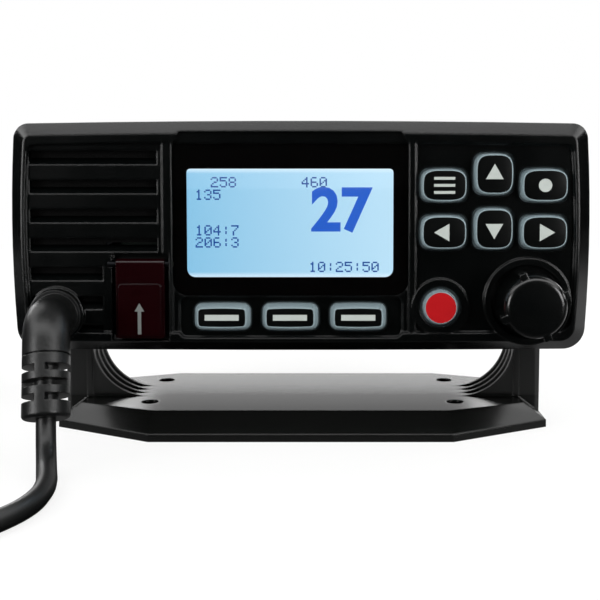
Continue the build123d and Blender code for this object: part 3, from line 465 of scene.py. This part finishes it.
def woven(name, tone, thread_tone, pitch):
    """A plain weave: two crossed sets of threads, pitch mm apart, drawn coarse enough to show.

    At a scale of 1, the waves of Blender's wave texture are wave_width apart.
    """
    material, tree, shader = start_material(name, {"Roughness": 0.9, "Specular IOR Level": 0.15})
    place = add(tree, "ShaderNodeTexCoord").outputs["Object"]
    threads = []
    for direction in ("X", "Z"):
        wave = add(
            tree,
            "ShaderNodeTexWave",
            {"bands_direction": direction, "Scale": wave_width / (pitch * mm), "Distortion": 0.3},
            {"Vector": place},
        )
        threads.append(wave.outputs["Fac"])
    weave = add(tree, "ShaderNodeMath", {"operation": "MULTIPLY"}, {0: threads[0], 1: threads[1]})
    shade = add(
        tree,
        "ShaderNodeMix",
        {"data_type": "RGBA", 6: linear(tone), 7: linear(thread_tone)},
        {0: weave.outputs[0]},
    )
    tree.links.new(shade.outputs[2], shader.inputs["Base Color"])
    bump = add(tree, "ShaderNodeBump", {"Distance": thread_relief * mm}, {"Height": weave.outputs[0]})
    tree.links.new(bump.outputs[0], shader.inputs["Normal"])
    return material


finish(nodes["speaker_mesh"], woven("acoustic polyester cloth", "#010101", "#030303", thread_pitch))
finish(nodes["speaker_basket"], black_steel)
cone_paper = moulded(
    "treated paper", "#171614", "#211f1c", roughness=0.8, grain=0.7, relief=0.1, edge=0.2
)
finish(nodes["speaker_cone"], cone_paper)
ferrite = moulded("ferrite", "#1d1e20", "#292a2c", roughness=0.6, grain=0.6, relief=0.06, edge=0.3)
finish(nodes["speaker_magnet"], ferrite)


# === Display ===================================================================================
# A clear acrylic window with a black border printed on its back, and behind it a blue-white backlit
# LCD whose dots are driven dark blue. The backlight glows strongest along its two long edges.
opening_x = (-32.7, 26.7)
opening_z = (47.75, 79.0)
opening_top_corner, opening_low_corner = 1.1, 2.4
print_back, print_front = 30.12, 30.2
picture_margin = 0.35
picture_back, picture_front = 29.0, 29.12
digit_front = 29.17
dot_pitch, dots_across, dots_high = 0.43, 5, 7
gap_pitch, gap_shade = 0.54, 0.9
lcd_left_tone, lcd_right_tone = "#88c4e6", "#bbe2f8"
lcd_edge_tone = "#d8f0ff"
big_digit_tone, small_digit_tone = "#2062d6", "#0f4ea2"
edge_glow, edge_share = 1.6, 0.8
lcd_strength = 1.08
hair_width, most_haze = 6.0, 0.04
merge_gap, flat_within = 0.001, 0.5
squarely = 0.9
cut_margin = 1.0
figure_share = 0.7


def start_editing(piece):
    """Makes a piece the only one selected and opens its mesh for editing, with nothing selected."""
    bpy.ops.object.select_all(action="DESELECT")
    piece.select_set(True)
    bpy.context.view_layer.objects.active = piece
    bpy.ops.object.mode_set(mode="EDIT")
    bpy.ops.mesh.select_all(action="DESELECT")


def merged_copy(node, name):
    """A copy of a CAD piece as a new object, its triangles merged into whole flat faces."""
    piece = bpy.data.objects.new(name, nodes[node].data.copy())
    bpy.context.scene.collection.objects.link(piece)
    start_editing(piece)
    bpy.ops.mesh.select_all(action="SELECT")
    bpy.ops.mesh.customdata_custom_splitnormals_clear()
    bpy.ops.mesh.mark_sharp(clear=True)
    bpy.ops.mesh.remove_doubles(threshold=merge_gap * mm)
    bpy.ops.mesh.dissolve_limited(angle_limit=radians(flat_within))
    bpy.ops.mesh.normals_make_consistent(inside=False)
    bpy.ops.object.mode_set(mode="OBJECT")
    return piece


def select_faces(piece, wanted):
    """Selects the faces for which wanted(centre in mm, normal) is true."""
    bpy.ops.mesh.select_mode(type="FACE")
    mesh = bmesh.from_edit_mesh(piece.data)
    for face in mesh.faces:
        face.select_set(bool(wanted(face.calc_center_median() / mm, face.normal)))
    bmesh.update_edit_mesh(piece.data)


def select_edges(piece, wanted):
    """Selects the edges for which wanted(middle in mm, direction) is true."""
    bpy.ops.mesh.select_mode(type="EDGE")
    mesh = bmesh.from_edit_mesh(piece.data)
    for edge in mesh.edges:
        first, last = (corner.co for corner in edge.verts)
        edge.select_set(bool(wanted((first + last) / 2 / mm, (last - first).normalized())))
    bmesh.update_edit_mesh(piece.data)


def plate(name, xs, zs, back, front):
    """A thin flat piece, given by its ends in X and Z and its two depths, as a cube at its place."""
    centre = ((xs[0] + xs[1]) / 2 * mm, -(back + front) / 2 * mm, (zs[0] + zs[1]) / 2 * mm)
    bpy.ops.object.select_all(action="DESELECT")
    bpy.ops.mesh.primitive_cube_add(size=1, location=centre)
    piece = bpy.context.object
    piece.name = name
    piece.scale = ((xs[1] - xs[0]) * mm, (front - back) * mm, (zs[1] - zs[0]) * mm)
    bpy.ops.object.transform_apply(location=True, rotation=True, scale=True)
    return piece


def apply_modifier(piece, kind, **settings):
    """Adds a modifier, sets it and applies it."""
    bpy.ops.object.select_all(action="DESELECT")
    piece.select_set(True)
    bpy.context.view_layer.objects.active = piece
    modifier = piece.modifiers.new(kind.lower(), kind)
    for name, value in settings.items():
        setattr(modifier, name, value)
    bpy.ops.object.modifier_apply(modifier=modifier.name)


def round_corners(piece, radius, low, high):
    """Rounds a plate's upright corners, those whose height lies between low and high, in mm."""
    start_editing(piece)
    select_edges(piece, lambda middle, along: abs(along.y) > squarely and low < middle.z < high)
    bpy.ops.mesh.bevel(offset=radius * mm, segments=8)
    bpy.ops.object.mode_set(mode="OBJECT")


def glow_material(name, tone):
    """A lit part of the LCD, of one colour, broken by the faint gaps between its square dots.

    The gaps are drawn a little further apart than the dots, so that they show.
    """
    material, tree, shader = start_material(name, {"Base Color": linear("#000000"), "Roughness": 0.3})
    place = add(tree, "ShaderNodeTexCoord").outputs["Object"]
    gaps = []
    for direction in ("X", "Z"):
        wave = add(
            tree,
            "ShaderNodeTexWave",
            {"bands_direction": direction, "Scale": wave_width / (gap_pitch * mm)},
            {"Vector": place},
        )
        gaps.append(wave.outputs["Fac"])
    both = add(tree, "ShaderNodeMath", {"operation": "MULTIPLY"}, {0: gaps[0], 1: gaps[1]})
    level = add(
        tree,
        "ShaderNodeMapRange",
        {"To Min": gap_shade, "To Max": 1.0},
        {"Value": both.outputs[0]},
    )
    tree.links.new(level.outputs[0], shader.inputs["Emission Strength"])
    shader.inputs["Emission Color"].default_value = linear(tone)
    return material


def lcd_glow():
    """The backlit picture: paler to the right, brightest along its upper and lower edge."""
    settings = {"Base Color": linear("#000000"), "Roughness": 0.25, "Emission Strength": lcd_strength}
    material, tree, shader = start_material("backlit LCD", settings)
    place = add(tree, "ShaderNodeTexCoord").outputs["Object"]
    spot = add(tree, "ShaderNodeSeparateXYZ", links={0: place}).outputs
    across = add(
        tree,
        "ShaderNodeMapRange",
        {"From Min": opening_x[0] * mm, "From Max": opening_x[1] * mm},
        {"Value": spot["X"]},
    )
    tone = add(
        tree,
        "ShaderNodeMix",
        {"data_type": "RGBA", 6: linear(lcd_left_tone), 7: linear(lcd_right_tone)},
        {0: across.outputs[0]},
    )
    rims = []
    for edge, inward in ((opening_z[0], 1), (opening_z[1], -1)):
        rim = add(
            tree,
            "ShaderNodeMapRange",
            {
                "interpolation_type": "SMOOTHSTEP",
                "From Min": edge * mm,
                "From Max": (edge + inward * edge_glow) * mm,
                "To Min": edge_share,
                "To Max": 0.0,
            },
            {"Value": spot["Z"]},
        )
        rims.append(rim.outputs[0])
    rim = add(tree, "ShaderNodeMath", {"operation": "MAXIMUM"}, {0: rims[0], 1: rims[1]})
    lit = add(
        tree,
        "ShaderNodeMix",
        {"data_type": "RGBA", 7: linear(lcd_edge_tone)},
        {0: rim.outputs[0], 6: tone.outputs[2]},
    )
    tree.links.new(lit.outputs[2], shader.inputs["Emission Color"])
    return material


def clear_acrylic():
    """Cast acrylic: clear and glossy, with hairlines from wiping that only dull its shine a little."""
    settings = {"Transmission Weight": 1.0, "IOR": 1.49, "Base Color": linear("#ffffff")}
    material, tree, shader = start_material("clear acrylic", settings)
    place = add(tree, "ShaderNodeTexCoord").outputs["Object"]
    fine = {"Scale": 1 / (hair_width * mm), "Detail": 5.0}
    hairs = add(tree, "ShaderNodeTexNoise", fine, {"Vector": place})
    haze = {"To Min": 0.0, "To Max": most_haze}
    gloss = add(tree, "ShaderNodeMapRange", haze, {"Value": hairs.outputs[0]})
    tree.links.new(gloss.outputs[0], shader.inputs["Roughness"])
    return material


def digits(name, text, left, low, height, bold):
    """Large figures on the LCD, as a thin raised mesh: left and low are their corner, in mm.

    A figure of Blender's font is figure_share of the font's size high.
    """
    bpy.ops.object.select_all(action="DESELECT")
    bpy.ops.object.text_add(rotation=(pi / 2, 0, 0))
    row = bpy.context.object
    row.name = name
    row.data.body = text
    row.data.size = height * mm / figure_share
    row.data.offset = bold * mm
    row.data.extrude = (digit_front - picture_front) / 2 * mm
    row.data.resolution_u = 4
    bpy.ops.object.convert(target="MESH")
    row.location = (left * mm, -(digit_front + picture_front) / 2 * mm, low * mm)
    bpy.ops.object.transform_apply(location=True, rotation=True, scale=True)
    return row


# The usual figures of a dot LCD: each word is one line of dots, from the top down.
figures = {
    "0": "01110 10001 10011 10101 11001 10001 01110",
    "1": "00100 01100 00100 00100 00100 00100 01110",
    "2": "01110 10001 00001 00110 01000 10000 11111",
    "3": "01110 10001 00001 00110 00001 10001 01110",
    "4": "00010 00110 01010 10010 11111 00010 00010",
    "5": "11111 10000 11110 00001 00001 10001 01110",
    "6": "01110 10000 10000 11110 10001 10001 01110",
    "7": "11111 00001 00010 00100 01000 01000 01000",
    "8": "01110 10001 10001 01110 10001 10001 01110",
    ":": "00000 00100 00100 00000 00100 00100 00000",
}


def dotted_row(name, text, left, low):
    """A row of small figures on the LCD, made of square dots: left and low are its corner, in mm."""
    row = bpy.data.objects.new(name, bpy.data.meshes.new(name))
    bpy.context.scene.collection.objects.link(row)
    start_editing(row)
    thick = digit_front - picture_front
    for place, letter in enumerate(text):
        for down, line in enumerate(figures[letter].split()):
            for across, lit in enumerate(line):
                if lit == "1":
                    x = left + (place * (dots_across + 1) + across + 0.5) * dot_pitch
                    z = low + (dots_high - down - 0.5) * dot_pitch
                    bpy.ops.mesh.primitive_cube_add(
                        size=mm,
                        location=(x * mm, -(picture_front + thick / 2) * mm, z * mm),
                        scale=(dot_pitch, thick, dot_pitch),
                    )
    bpy.ops.object.mode_set(mode="OBJECT")
    return row


# The ink is seen through the acrylic, whose own front gives the only shine, so it has none itself.
window_print = merged_copy("display_window", "window_print")
window_back = -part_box("display_window")[1].y / mm
window_front = -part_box("display_window")[0].y / mm
for vertex in window_print.data.vertices:
    share = (-vertex.co.y / mm - window_back) / (window_front - window_back)
    vertex.co.y = -(print_back + share * (print_front - print_back)) * mm
cutter = plate("cutter", opening_x, opening_z, window_back - cut_margin, window_front + cut_margin)
middle_z = sum(opening_z) / 2
round_corners(cutter, opening_top_corner, middle_z, opening_z[1] + cut_margin)
round_corners(cutter, opening_low_corner, opening_z[0] - cut_margin, middle_z)
apply_modifier(window_print, "BOOLEAN", object=cutter, solver="EXACT")
bpy.data.objects.remove(cutter)
no_shine = {"Specular IOR Level": 0.0}
window_ink = moulded(
    "gloss black screen ink",
    "#050404",
    "#070606",
    roughness=0.3,
    grain=0.5,
    relief=0.0,
    edge=0.02,
    settings=no_shine,
)
finish(window_print, window_ink)
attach(window_print, "radio")

picture = plate(
    "lcd_picture",
    (opening_x[0] - picture_margin, opening_x[1] + picture_margin),
    (opening_z[0] - picture_margin, opening_z[1] + picture_margin),
    picture_back,
    picture_front,
)
finish(picture, lcd_glow())
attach(picture, "radio")

# Each row has its name, its figures, and its lower left corner in mm.
rows = [
    ("lcd_row_power", "258", -25.9, 73.6),
    ("lcd_row_watts", "135", -30.4, 70.0),
    ("lcd_row_squelch", "104:7", -30.4, 59.7),
    ("lcd_row_volume", "206:3", -30.4, 56.2),
    ("lcd_row_mode", "460", 0.3, 73.6),
    ("lcd_row_clock", "10:25:50", 2.4, 49.1),
]
small_dots = glow_material("driven dots of the small rows", small_digit_tone)
for name, text, left, low in rows:
    row = dotted_row(name, text, left, low)
    finish(row, small_dots)
    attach(row, "radio")
channel_left, channel_low, channel_height, channel_bold = 3.0, 61.4, 12.0, 0.55
channel = digits("lcd_channel", "27", channel_left, channel_low, channel_height, channel_bold)
finish(channel, glow_material("driven dots of the channel", big_digit_tone))
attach(channel, "radio")

# The LCD's glass is dark and glossy, and the light guide behind it a frosted white.
finish(nodes["display_window"], clear_acrylic())
lcd_glass = moulded(
    "LCD glass", "#1a2227", "#20292e", roughness=0.15, grain=0.5, relief=0.0, edge=0.1
)
finish(nodes["lcd_panel"], lcd_glass)
light_guide = moulded(
    "acrylic light guide", "#dfe8ea", "#eef4f5", roughness=0.3, grain=0.5, relief=0.0, edge=0.1
)
finish(nodes["lcd_backlight"], light_guide)


# === Keys ======================================================================================
# The keys are lobes of one pale silicone mat. Their fronts are sprayed black and printed with pale
# marks, and the grey silicone shows as a ring round each black front. A faint glow is painted into the
# silicone in place of the light that the lamps on the front board shine through it from behind.
# The strength of the glow painted into the silicone, standing in for the backlight.
painted_key_glow = 0.04
light_depth = 2.0
# Milky silicone, with that painted glow as its emission.
milky_with_painted_glow = {
    "Subsurface Weight": 0.2,
    "Subsurface Radius": (light_depth * mm, light_depth * mm, light_depth * mm),
    "Emission Color": linear("#a9bcc2"),
    "Emission Strength": painted_key_glow,
}
# Silicone is milky with hardly any shine, the paint on it a black satin and the print flat.
silicone = moulded(
    "translucent grey silicone",
    "#69787d",
    "#718085",
    roughness=0.5,
    grain=0.6,
    relief=0.02,
    edge=0.15,
    settings=milky_with_painted_glow,
)
key_ink = moulded(
    "black key paint",
    "#020303",
    "#030404",
    roughness=0.3,
    grain=0.6,
    relief=0.01,
    edge=0.1,
    settings={"Specular IOR Level": 0.3},
)
print_white = moulded(
    "pale screen print", "#949a96", "#9ca29e", roughness=0.5, grain=0.5, relief=0.01, edge=0.05
)
key_root, key_flange = 30.2, 0.55
key_draw, key_bow = (0.5, 0.35), 3.4
key_edge, channel_key_edge = 0.35, 0.12
flat_front, front_depth = 0.99, 0.1
smooth_below = 35.0
cap_sides, dot_sides = 96, 32
mark_height = 0.06


def middle(node):
    """The middle of a node's front in X and Z, and the depth of that front, in mm."""
    low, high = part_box(node)
    return (low.x + high.x) / 2 / mm, (low.z + high.z) / 2 / mm, -low.y / mm


def bowed_cap(key, node):
    """Puts a cap with bowed sides in place of a key's own front, on the same root and front plane."""
    low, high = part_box(node)
    x, z, front = middle(node)
    start_editing(key)
    bpy.ops.mesh.select_all(action="SELECT")
    root = (0, -key_root * mm, 0)
    bpy.ops.mesh.bisect(plane_co=root, plane_no=(0, -1, 0), use_fill=True, clear_outer=True)
    bpy.ops.object.mode_set(mode="OBJECT")
    bpy.ops.mesh.primitive_cylinder_add(
        vertices=cap_sides, radius=mm, depth=mm, rotation=(pi / 2, 0, 0)
    )
    cap = bpy.context.object
    bpy.ops.object.transform_apply(rotation=True)
    halves = [(high[axis] - low[axis]) / 2 / mm - key_flange for axis in (0, 2)]
    for vertex in cap.data.vertices:
        depth, drawn = (front, key_draw) if vertex.co.y < 0 else (key_root, (0, 0))
        sides = (vertex.co.x / mm, vertex.co.z / mm)
        shares = [copysign(abs(side) ** (2 / key_bow), side) for side in sides]
        across, rise = (share * (half - less) for share, half, less in zip(shares, halves, drawn))
        vertex.co = Vector((x + across, -depth, z + rise)) * mm
    bpy.ops.object.select_all(action="DESELECT")
    cap.select_set(True)
    key.select_set(True)
    bpy.context.view_layer.objects.active = key
    bpy.ops.object.join()


def dress_key(node, skin, front_skin, bowed=False, edge=key_edge):
    """A key's own mesh with a rounded front edge, its front in another finish than its sides."""
    key = merged_copy(node, f"{node}_cap")
    if bowed:
        bowed_cap(key, node)
    front = -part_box(node)[0].y / mm
    start_editing(key)
    select_faces(key, lambda centre, normal: normal.y < -squarely and -centre.y > front - front_depth)
    bpy.ops.mesh.region_to_loop()
    bpy.ops.mesh.bevel(offset=edge * mm, segments=3)
    bpy.ops.object.mode_set(mode="OBJECT")
    bpy.ops.object.shade_smooth_by_angle(angle=radians(smooth_below))
    finish(key, skin, front_skin)
    for face in key.data.polygons:
        on_front = -face.center.y / mm > front - front_depth
        face.material_index = int(face.normal.y < -flat_front and on_front)
    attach(key, node)
    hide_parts(node)


def mark(name, body, corners, x, z, front, radius, turn=0.0, ink=print_white):
    """A small printed shape on a key or on the cover: a disc with that many corners, thick as ink."""
    bpy.ops.object.select_all(action="DESELECT")
    bpy.ops.mesh.primitive_cylinder_add(
        vertices=corners, radius=radius * mm, depth=mark_height * mm, rotation=(pi / 2, turn, 0)
    )
    piece = bpy.context.object
    piece.name = name
    piece.location = (x * mm, -(front + mark_height / 2) * mm, z * mm)
    bpy.ops.object.transform_apply(location=True, rotation=True, scale=True)
    finish(piece, ink)
    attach(piece, body)


def bar_mark(name, body, xs, zs, front, ink=print_white):
    """A small printed bar on a key or on the cover."""
    piece = plate(name, xs, zs, front, front + mark_height)
    finish(piece, ink)
    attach(piece, body)


arrow_radius, dot_radius = 2.9, 1.9
menu_bar_half, menu_bar_pitch, menu_bar_thick = 3.0, 2.0, 0.8
arrow_turn = {"up_key": 0, "right_key": 90, "down_key": 180, "left_key": 270}
for node in ("menu_key", "up_key", "enter_key", "left_key", "down_key", "right_key"):
    dress_key(node, silicone, key_ink, bowed=True)
    x, z, front = middle(node)
    if node in arrow_turn:
        mark(f"{node}_arrow", node, 3, x, z, front, arrow_radius, radians(arrow_turn[node]))
x, z, front = middle("menu_key")
for step in (-1, 0, 1):
    height = z + menu_bar_pitch * step
    xs = (x - menu_bar_half, x + menu_bar_half)
    zs = (height - menu_bar_thick / 2, height + menu_bar_thick / 2)
    bar_mark(f"menu_key_bar_{step + 2}", "menu_key", xs, zs, front)
x, z, front = middle("enter_key")
mark("enter_key_dot", "enter_key", dot_sides, x, z, front, dot_radius)

soft_mark_half, soft_mark_height = 4.9, 1.7
for node in ("soft_key_left", "soft_key_middle", "soft_key_right"):
    dress_key(node, silicone, key_ink)
    x, z, front = middle(node)
    xs = (x - soft_mark_half, x + soft_mark_half)
    zs = (z - soft_mark_height / 2, z + soft_mark_height / 2)
    bar_mark(f"{node}_bar", node, xs, zs, front)

# The round channel key is painted a deep flat red. The distress button has the same red.
red_ink = moulded(
    "red key paint",
    "#8c0006",
    "#960008",
    roughness=0.6,
    grain=0.6,
    relief=0.01,
    edge=0.1,
    settings={"Specular IOR Level": 0.12},
)
dress_key("channel_key", silicone, red_ink, edge=channel_key_edge)
finish(nodes["key_mat"], silicone)


# === Volume knob ===============================================================================
# A moulded ABS knob with four finger lugs, pushed on the steel shaft of a rotary encoder. Its front
# edge is generously rounded, and the lugs run up through that rounding as small square blocks. It
# has the same low satin as the bezel.
knob_radius, knob_draft = 9.15, 0.35
knob_cut, knob_rounding = 2.8, 2.1
lug_first, lug_width, lug_reach, lug_drop = 22.0, 2.3, 10.05, 0.6
lug_count, lug_edge = 4, 0.3
knob_sides = 128
knob_plastic = moulded(
    "satin knob ABS", "#020303", "#030404", roughness=0.23, grain=0.6, relief=0.012, edge=0.3
)


def knob_front(x, z, back, front):
    """The knob's last few millimetres: a drafted disc with a rounded edge, and the ends of its lugs."""
    root = front - knob_cut
    bpy.ops.object.select_all(action="DESELECT")
    bpy.ops.mesh.primitive_cylinder_add(
        vertices=knob_sides,
        radius=mm,
        depth=knob_cut * mm,
        rotation=(pi / 2, 0, 0),
        location=(x * mm, -(root + front) / 2 * mm, z * mm),
    )
    disc = bpy.context.object
    bpy.ops.object.transform_apply(location=True, rotation=True)
    for vertex in disc.data.vertices:
        depth = -vertex.co.y / mm
        radius = knob_radius - knob_draft * (depth - back) / (front - back)
        vertex.co.x = (x + (vertex.co.x / mm - x) * radius) * mm
        vertex.co.z = (z + (vertex.co.z / mm - z) * radius) * mm
    start_editing(disc)
    select_faces(disc, lambda centre, normal: normal.y < -squarely)
    bpy.ops.mesh.region_to_loop()
    bpy.ops.mesh.bevel(offset=knob_rounding * mm, segments=8)
    bpy.ops.object.mode_set(mode="OBJECT")
    pieces = [disc]
    for step in range(lug_count):
        length = (lug_reach - 2 * lug_width, lug_reach)
        lug = plate("lug", length, (-lug_width / 2, lug_width / 2), root, front - lug_drop)
        apply_modifier(lug, "BEVEL", width=lug_edge * mm, segments=3)
        lug.rotation_euler = (0, -radians(lug_first + 360 / lug_count * step), 0)
        lug.location = (x * mm, 0, z * mm)
        bpy.ops.object.transform_apply(location=True, rotation=True)
        pieces.append(lug)
    return pieces


knob = merged_copy("volume_knob", "volume_knob_cap")
x, z, front = middle("volume_knob")
back = -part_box("volume_knob")[1].y / mm
start_editing(knob)
bpy.ops.mesh.select_all(action="SELECT")
cut = (0, -(front - knob_cut) * mm, 0)
bpy.ops.mesh.bisect(plane_co=cut, plane_no=(0, -1, 0), use_fill=True, clear_outer=True)
bpy.ops.object.mode_set(mode="OBJECT")
for piece in knob_front(x, z, back, front):
    piece.select_set(True)
knob.select_set(True)
bpy.context.view_layer.objects.active = knob
bpy.ops.object.join()
bpy.ops.object.shade_smooth_by_angle(angle=radians(smooth_below))
finish(knob, knob_plastic)
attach(knob, "volume_knob")
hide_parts("volume_knob")
finish(nodes["encoder_shaft"], zinc_steel)
finish(nodes["encoder"], tin_plate)


# === Distress cover and button =================================================================
# A sprung flap in dark red polycarbonate, glossy from a polished tool, over a red button. It is
# lifted by its raised lower part, which has a dull grey arrow printed on it.
shaft_low, shaft_high, shaft_half = 31.6, 38.2, 0.5
head_radius, head_rise = 1.6, 0.8
red_flap = moulded(
    "red polycarbonate",
    "#0e0001",
    "#140002",
    roughness=0.2,
    grain=0.6,
    relief=0.01,
    edge=0.3,
    settings={"Specular IOR Level": 0.3},
)
finish(nodes["distress_cover"], red_flap)
x, z, front = middle("distress_cover")
grey_print = moulded(
    "grey screen print", "#565a58", "#5e6260", roughness=0.5, grain=0.5, relief=0.01, edge=0.05
)
shaft = (x - shaft_half, x + shaft_half)
bar_mark("cover_bar", "distress_cover", shaft, (shaft_low, shaft_high), front, ink=grey_print)
head = shaft_high + head_rise
mark("cover_arrow", "distress_cover", 3, x, head, front, head_radius, ink=grey_print)
finish(nodes["cover_pin"], black_steel)
finish(nodes["distress_button"], red_ink)


# === Microphone lead's boot ====================================================================
# An elbow of soft PVC moulded over the lead, with ribs that let it bend. It is duller than the
# bezel and shines softly along its bend.
boot_rubber = moulded(
    "soft PVC", "#060707", "#090a0a", roughness=0.38, grain=0.9, relief=0.05, edge=0.4
)
finish(nodes["mic_lead_boot"], boot_rubber)


# === Microphone lead ===========================================================================
# A straight screened lead, 5.2 mm thick in a satin PVC jacket. It drops out of the boot to the table
# and is wound up beside the radio, two turns flat on the table and the rest on top of them. The coil
# and the microphone lie on the table.
lead_diameter = 5.2
lead_height = 2.7
boot_end = (-66.3, -57.6, 13.2)
way_to_coil = [
    boot_end,
    (-65.8, -59.6, 8.6),
    (-64.7, -63.2, 5.0),
    (-63.1, -68.6, 2.7),
    (-59.7, -79.9, 2.7),
    (-59.3, -93.0, 2.7),
    (-64.2, -105.2, 2.7),
    (-73.7, -114.4, 2.7),
    (-86.1, -118.7, 2.7),
    (-104.0, -119.0, 2.7),
]
way_to_microphone = [(-155.8, -75.4, 8.4), (-156.4, -65.2, 8.6), (-157.2, -55.65, 10.1)]
coil_x, coil_y = -122.0, -85.2
outer_turn, inner_turn = 33.5, 27.7
upper_height = 8.3
coil_step = 15
coil_end = 1170
change = 60
inward_from, upward_from, outward_from = 290, 590, 870


def eased(turned, start):
    """0 before the start of a change of lane, 1 after it, and smooth between."""
    share = min(max((turned - start) / change, 0), 1)
    return share * share * (3 - 2 * share)


def coil_spot(turned):
    """Where the lead lies in its coil after that many degrees, clockwise from the coil's near side."""
    lane = eased(turned, inward_from) - eased(turned, outward_from)
    radius = outer_turn + (inner_turn - outer_turn) * lane
    height = lead_height + (upper_height - lead_height) * eased(turned, upward_from)
    angle = radians(turned)
    return coil_x - radius * sin(angle), coil_y - radius * cos(angle), height


turns = [coil_spot(turned) for turned in range(0, coil_end + 1, coil_step)]
route = way_to_coil + turns + way_to_microphone
curve = bpy.data.curves.new("lead_route", "CURVE")
curve.dimensions = "3D"
spline = curve.splines.new("NURBS")
spline.points.add(len(route) - 1)
for point, spot in zip(spline.points, route):
    point.co = (*[c * mm for c in spot], 1)
spline.order_u = 3
spline.use_endpoint_u = True
curve.resolution_u = 10
line = bpy.data.objects.new("lead_route", curve)
bpy.context.scene.collection.objects.link(line)
centre_line = [tuple(v.co) for v in bpy.data.meshes.new_from_object(line).vertices]
curve.bevel_depth = lead_diameter / 2 * mm
curve.bevel_resolution = 5
curve.use_fill_caps = True
lead = bpy.data.objects.new("mic_lead", bpy.data.meshes.new_from_object(line))
bpy.context.scene.collection.objects.link(lead)
bpy.data.objects.remove(line)
for face in lead.data.polygons:
    face.use_smooth = True
jacket = moulded(
    "PVC jacket", "#070808", "#0a0b0b", roughness=0.42, grain=0.9, relief=0.03, edge=0.2
)
finish(lead, jacket)
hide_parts("mic_lead_drop", "mic_lead_run", "mic_lead_coil", "mic_lead_tail")
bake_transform(lead)


# === Microphone ================================================================================
# A fist microphone in two ABS shells, with a rubber talk key in its side, two channel keys, a
# hang button on its back and a soft relief round its lead. The shells have a fine dull texture, and
# the talk key is duller still.
shell_plastic = moulded(
    "textured ABS", "#0c0d0e", "#121314", roughness=0.48, grain=0.9, relief=0.06, edge=0.5
)
talk_rubber = moulded(
    "thermoplastic rubber", "#141516", "#1c1d1e", roughness=0.6, grain=0.7, relief=0.05, edge=0.3
)
finish(nodes["mic_front_shell"], shell_plastic)
finish(nodes["mic_back_shell"], shell_plastic)
finish(nodes["mic_talk_key"], talk_rubber)
finish(nodes["mic_key_down"], silicone)
finish(nodes["mic_key_up"], silicone)
finish(nodes["mic_hang_button"], zinc_steel)
finish(nodes["mic_capsule"], tin_plate)
finish(nodes["mic_lead_relief"], boot_rubber)
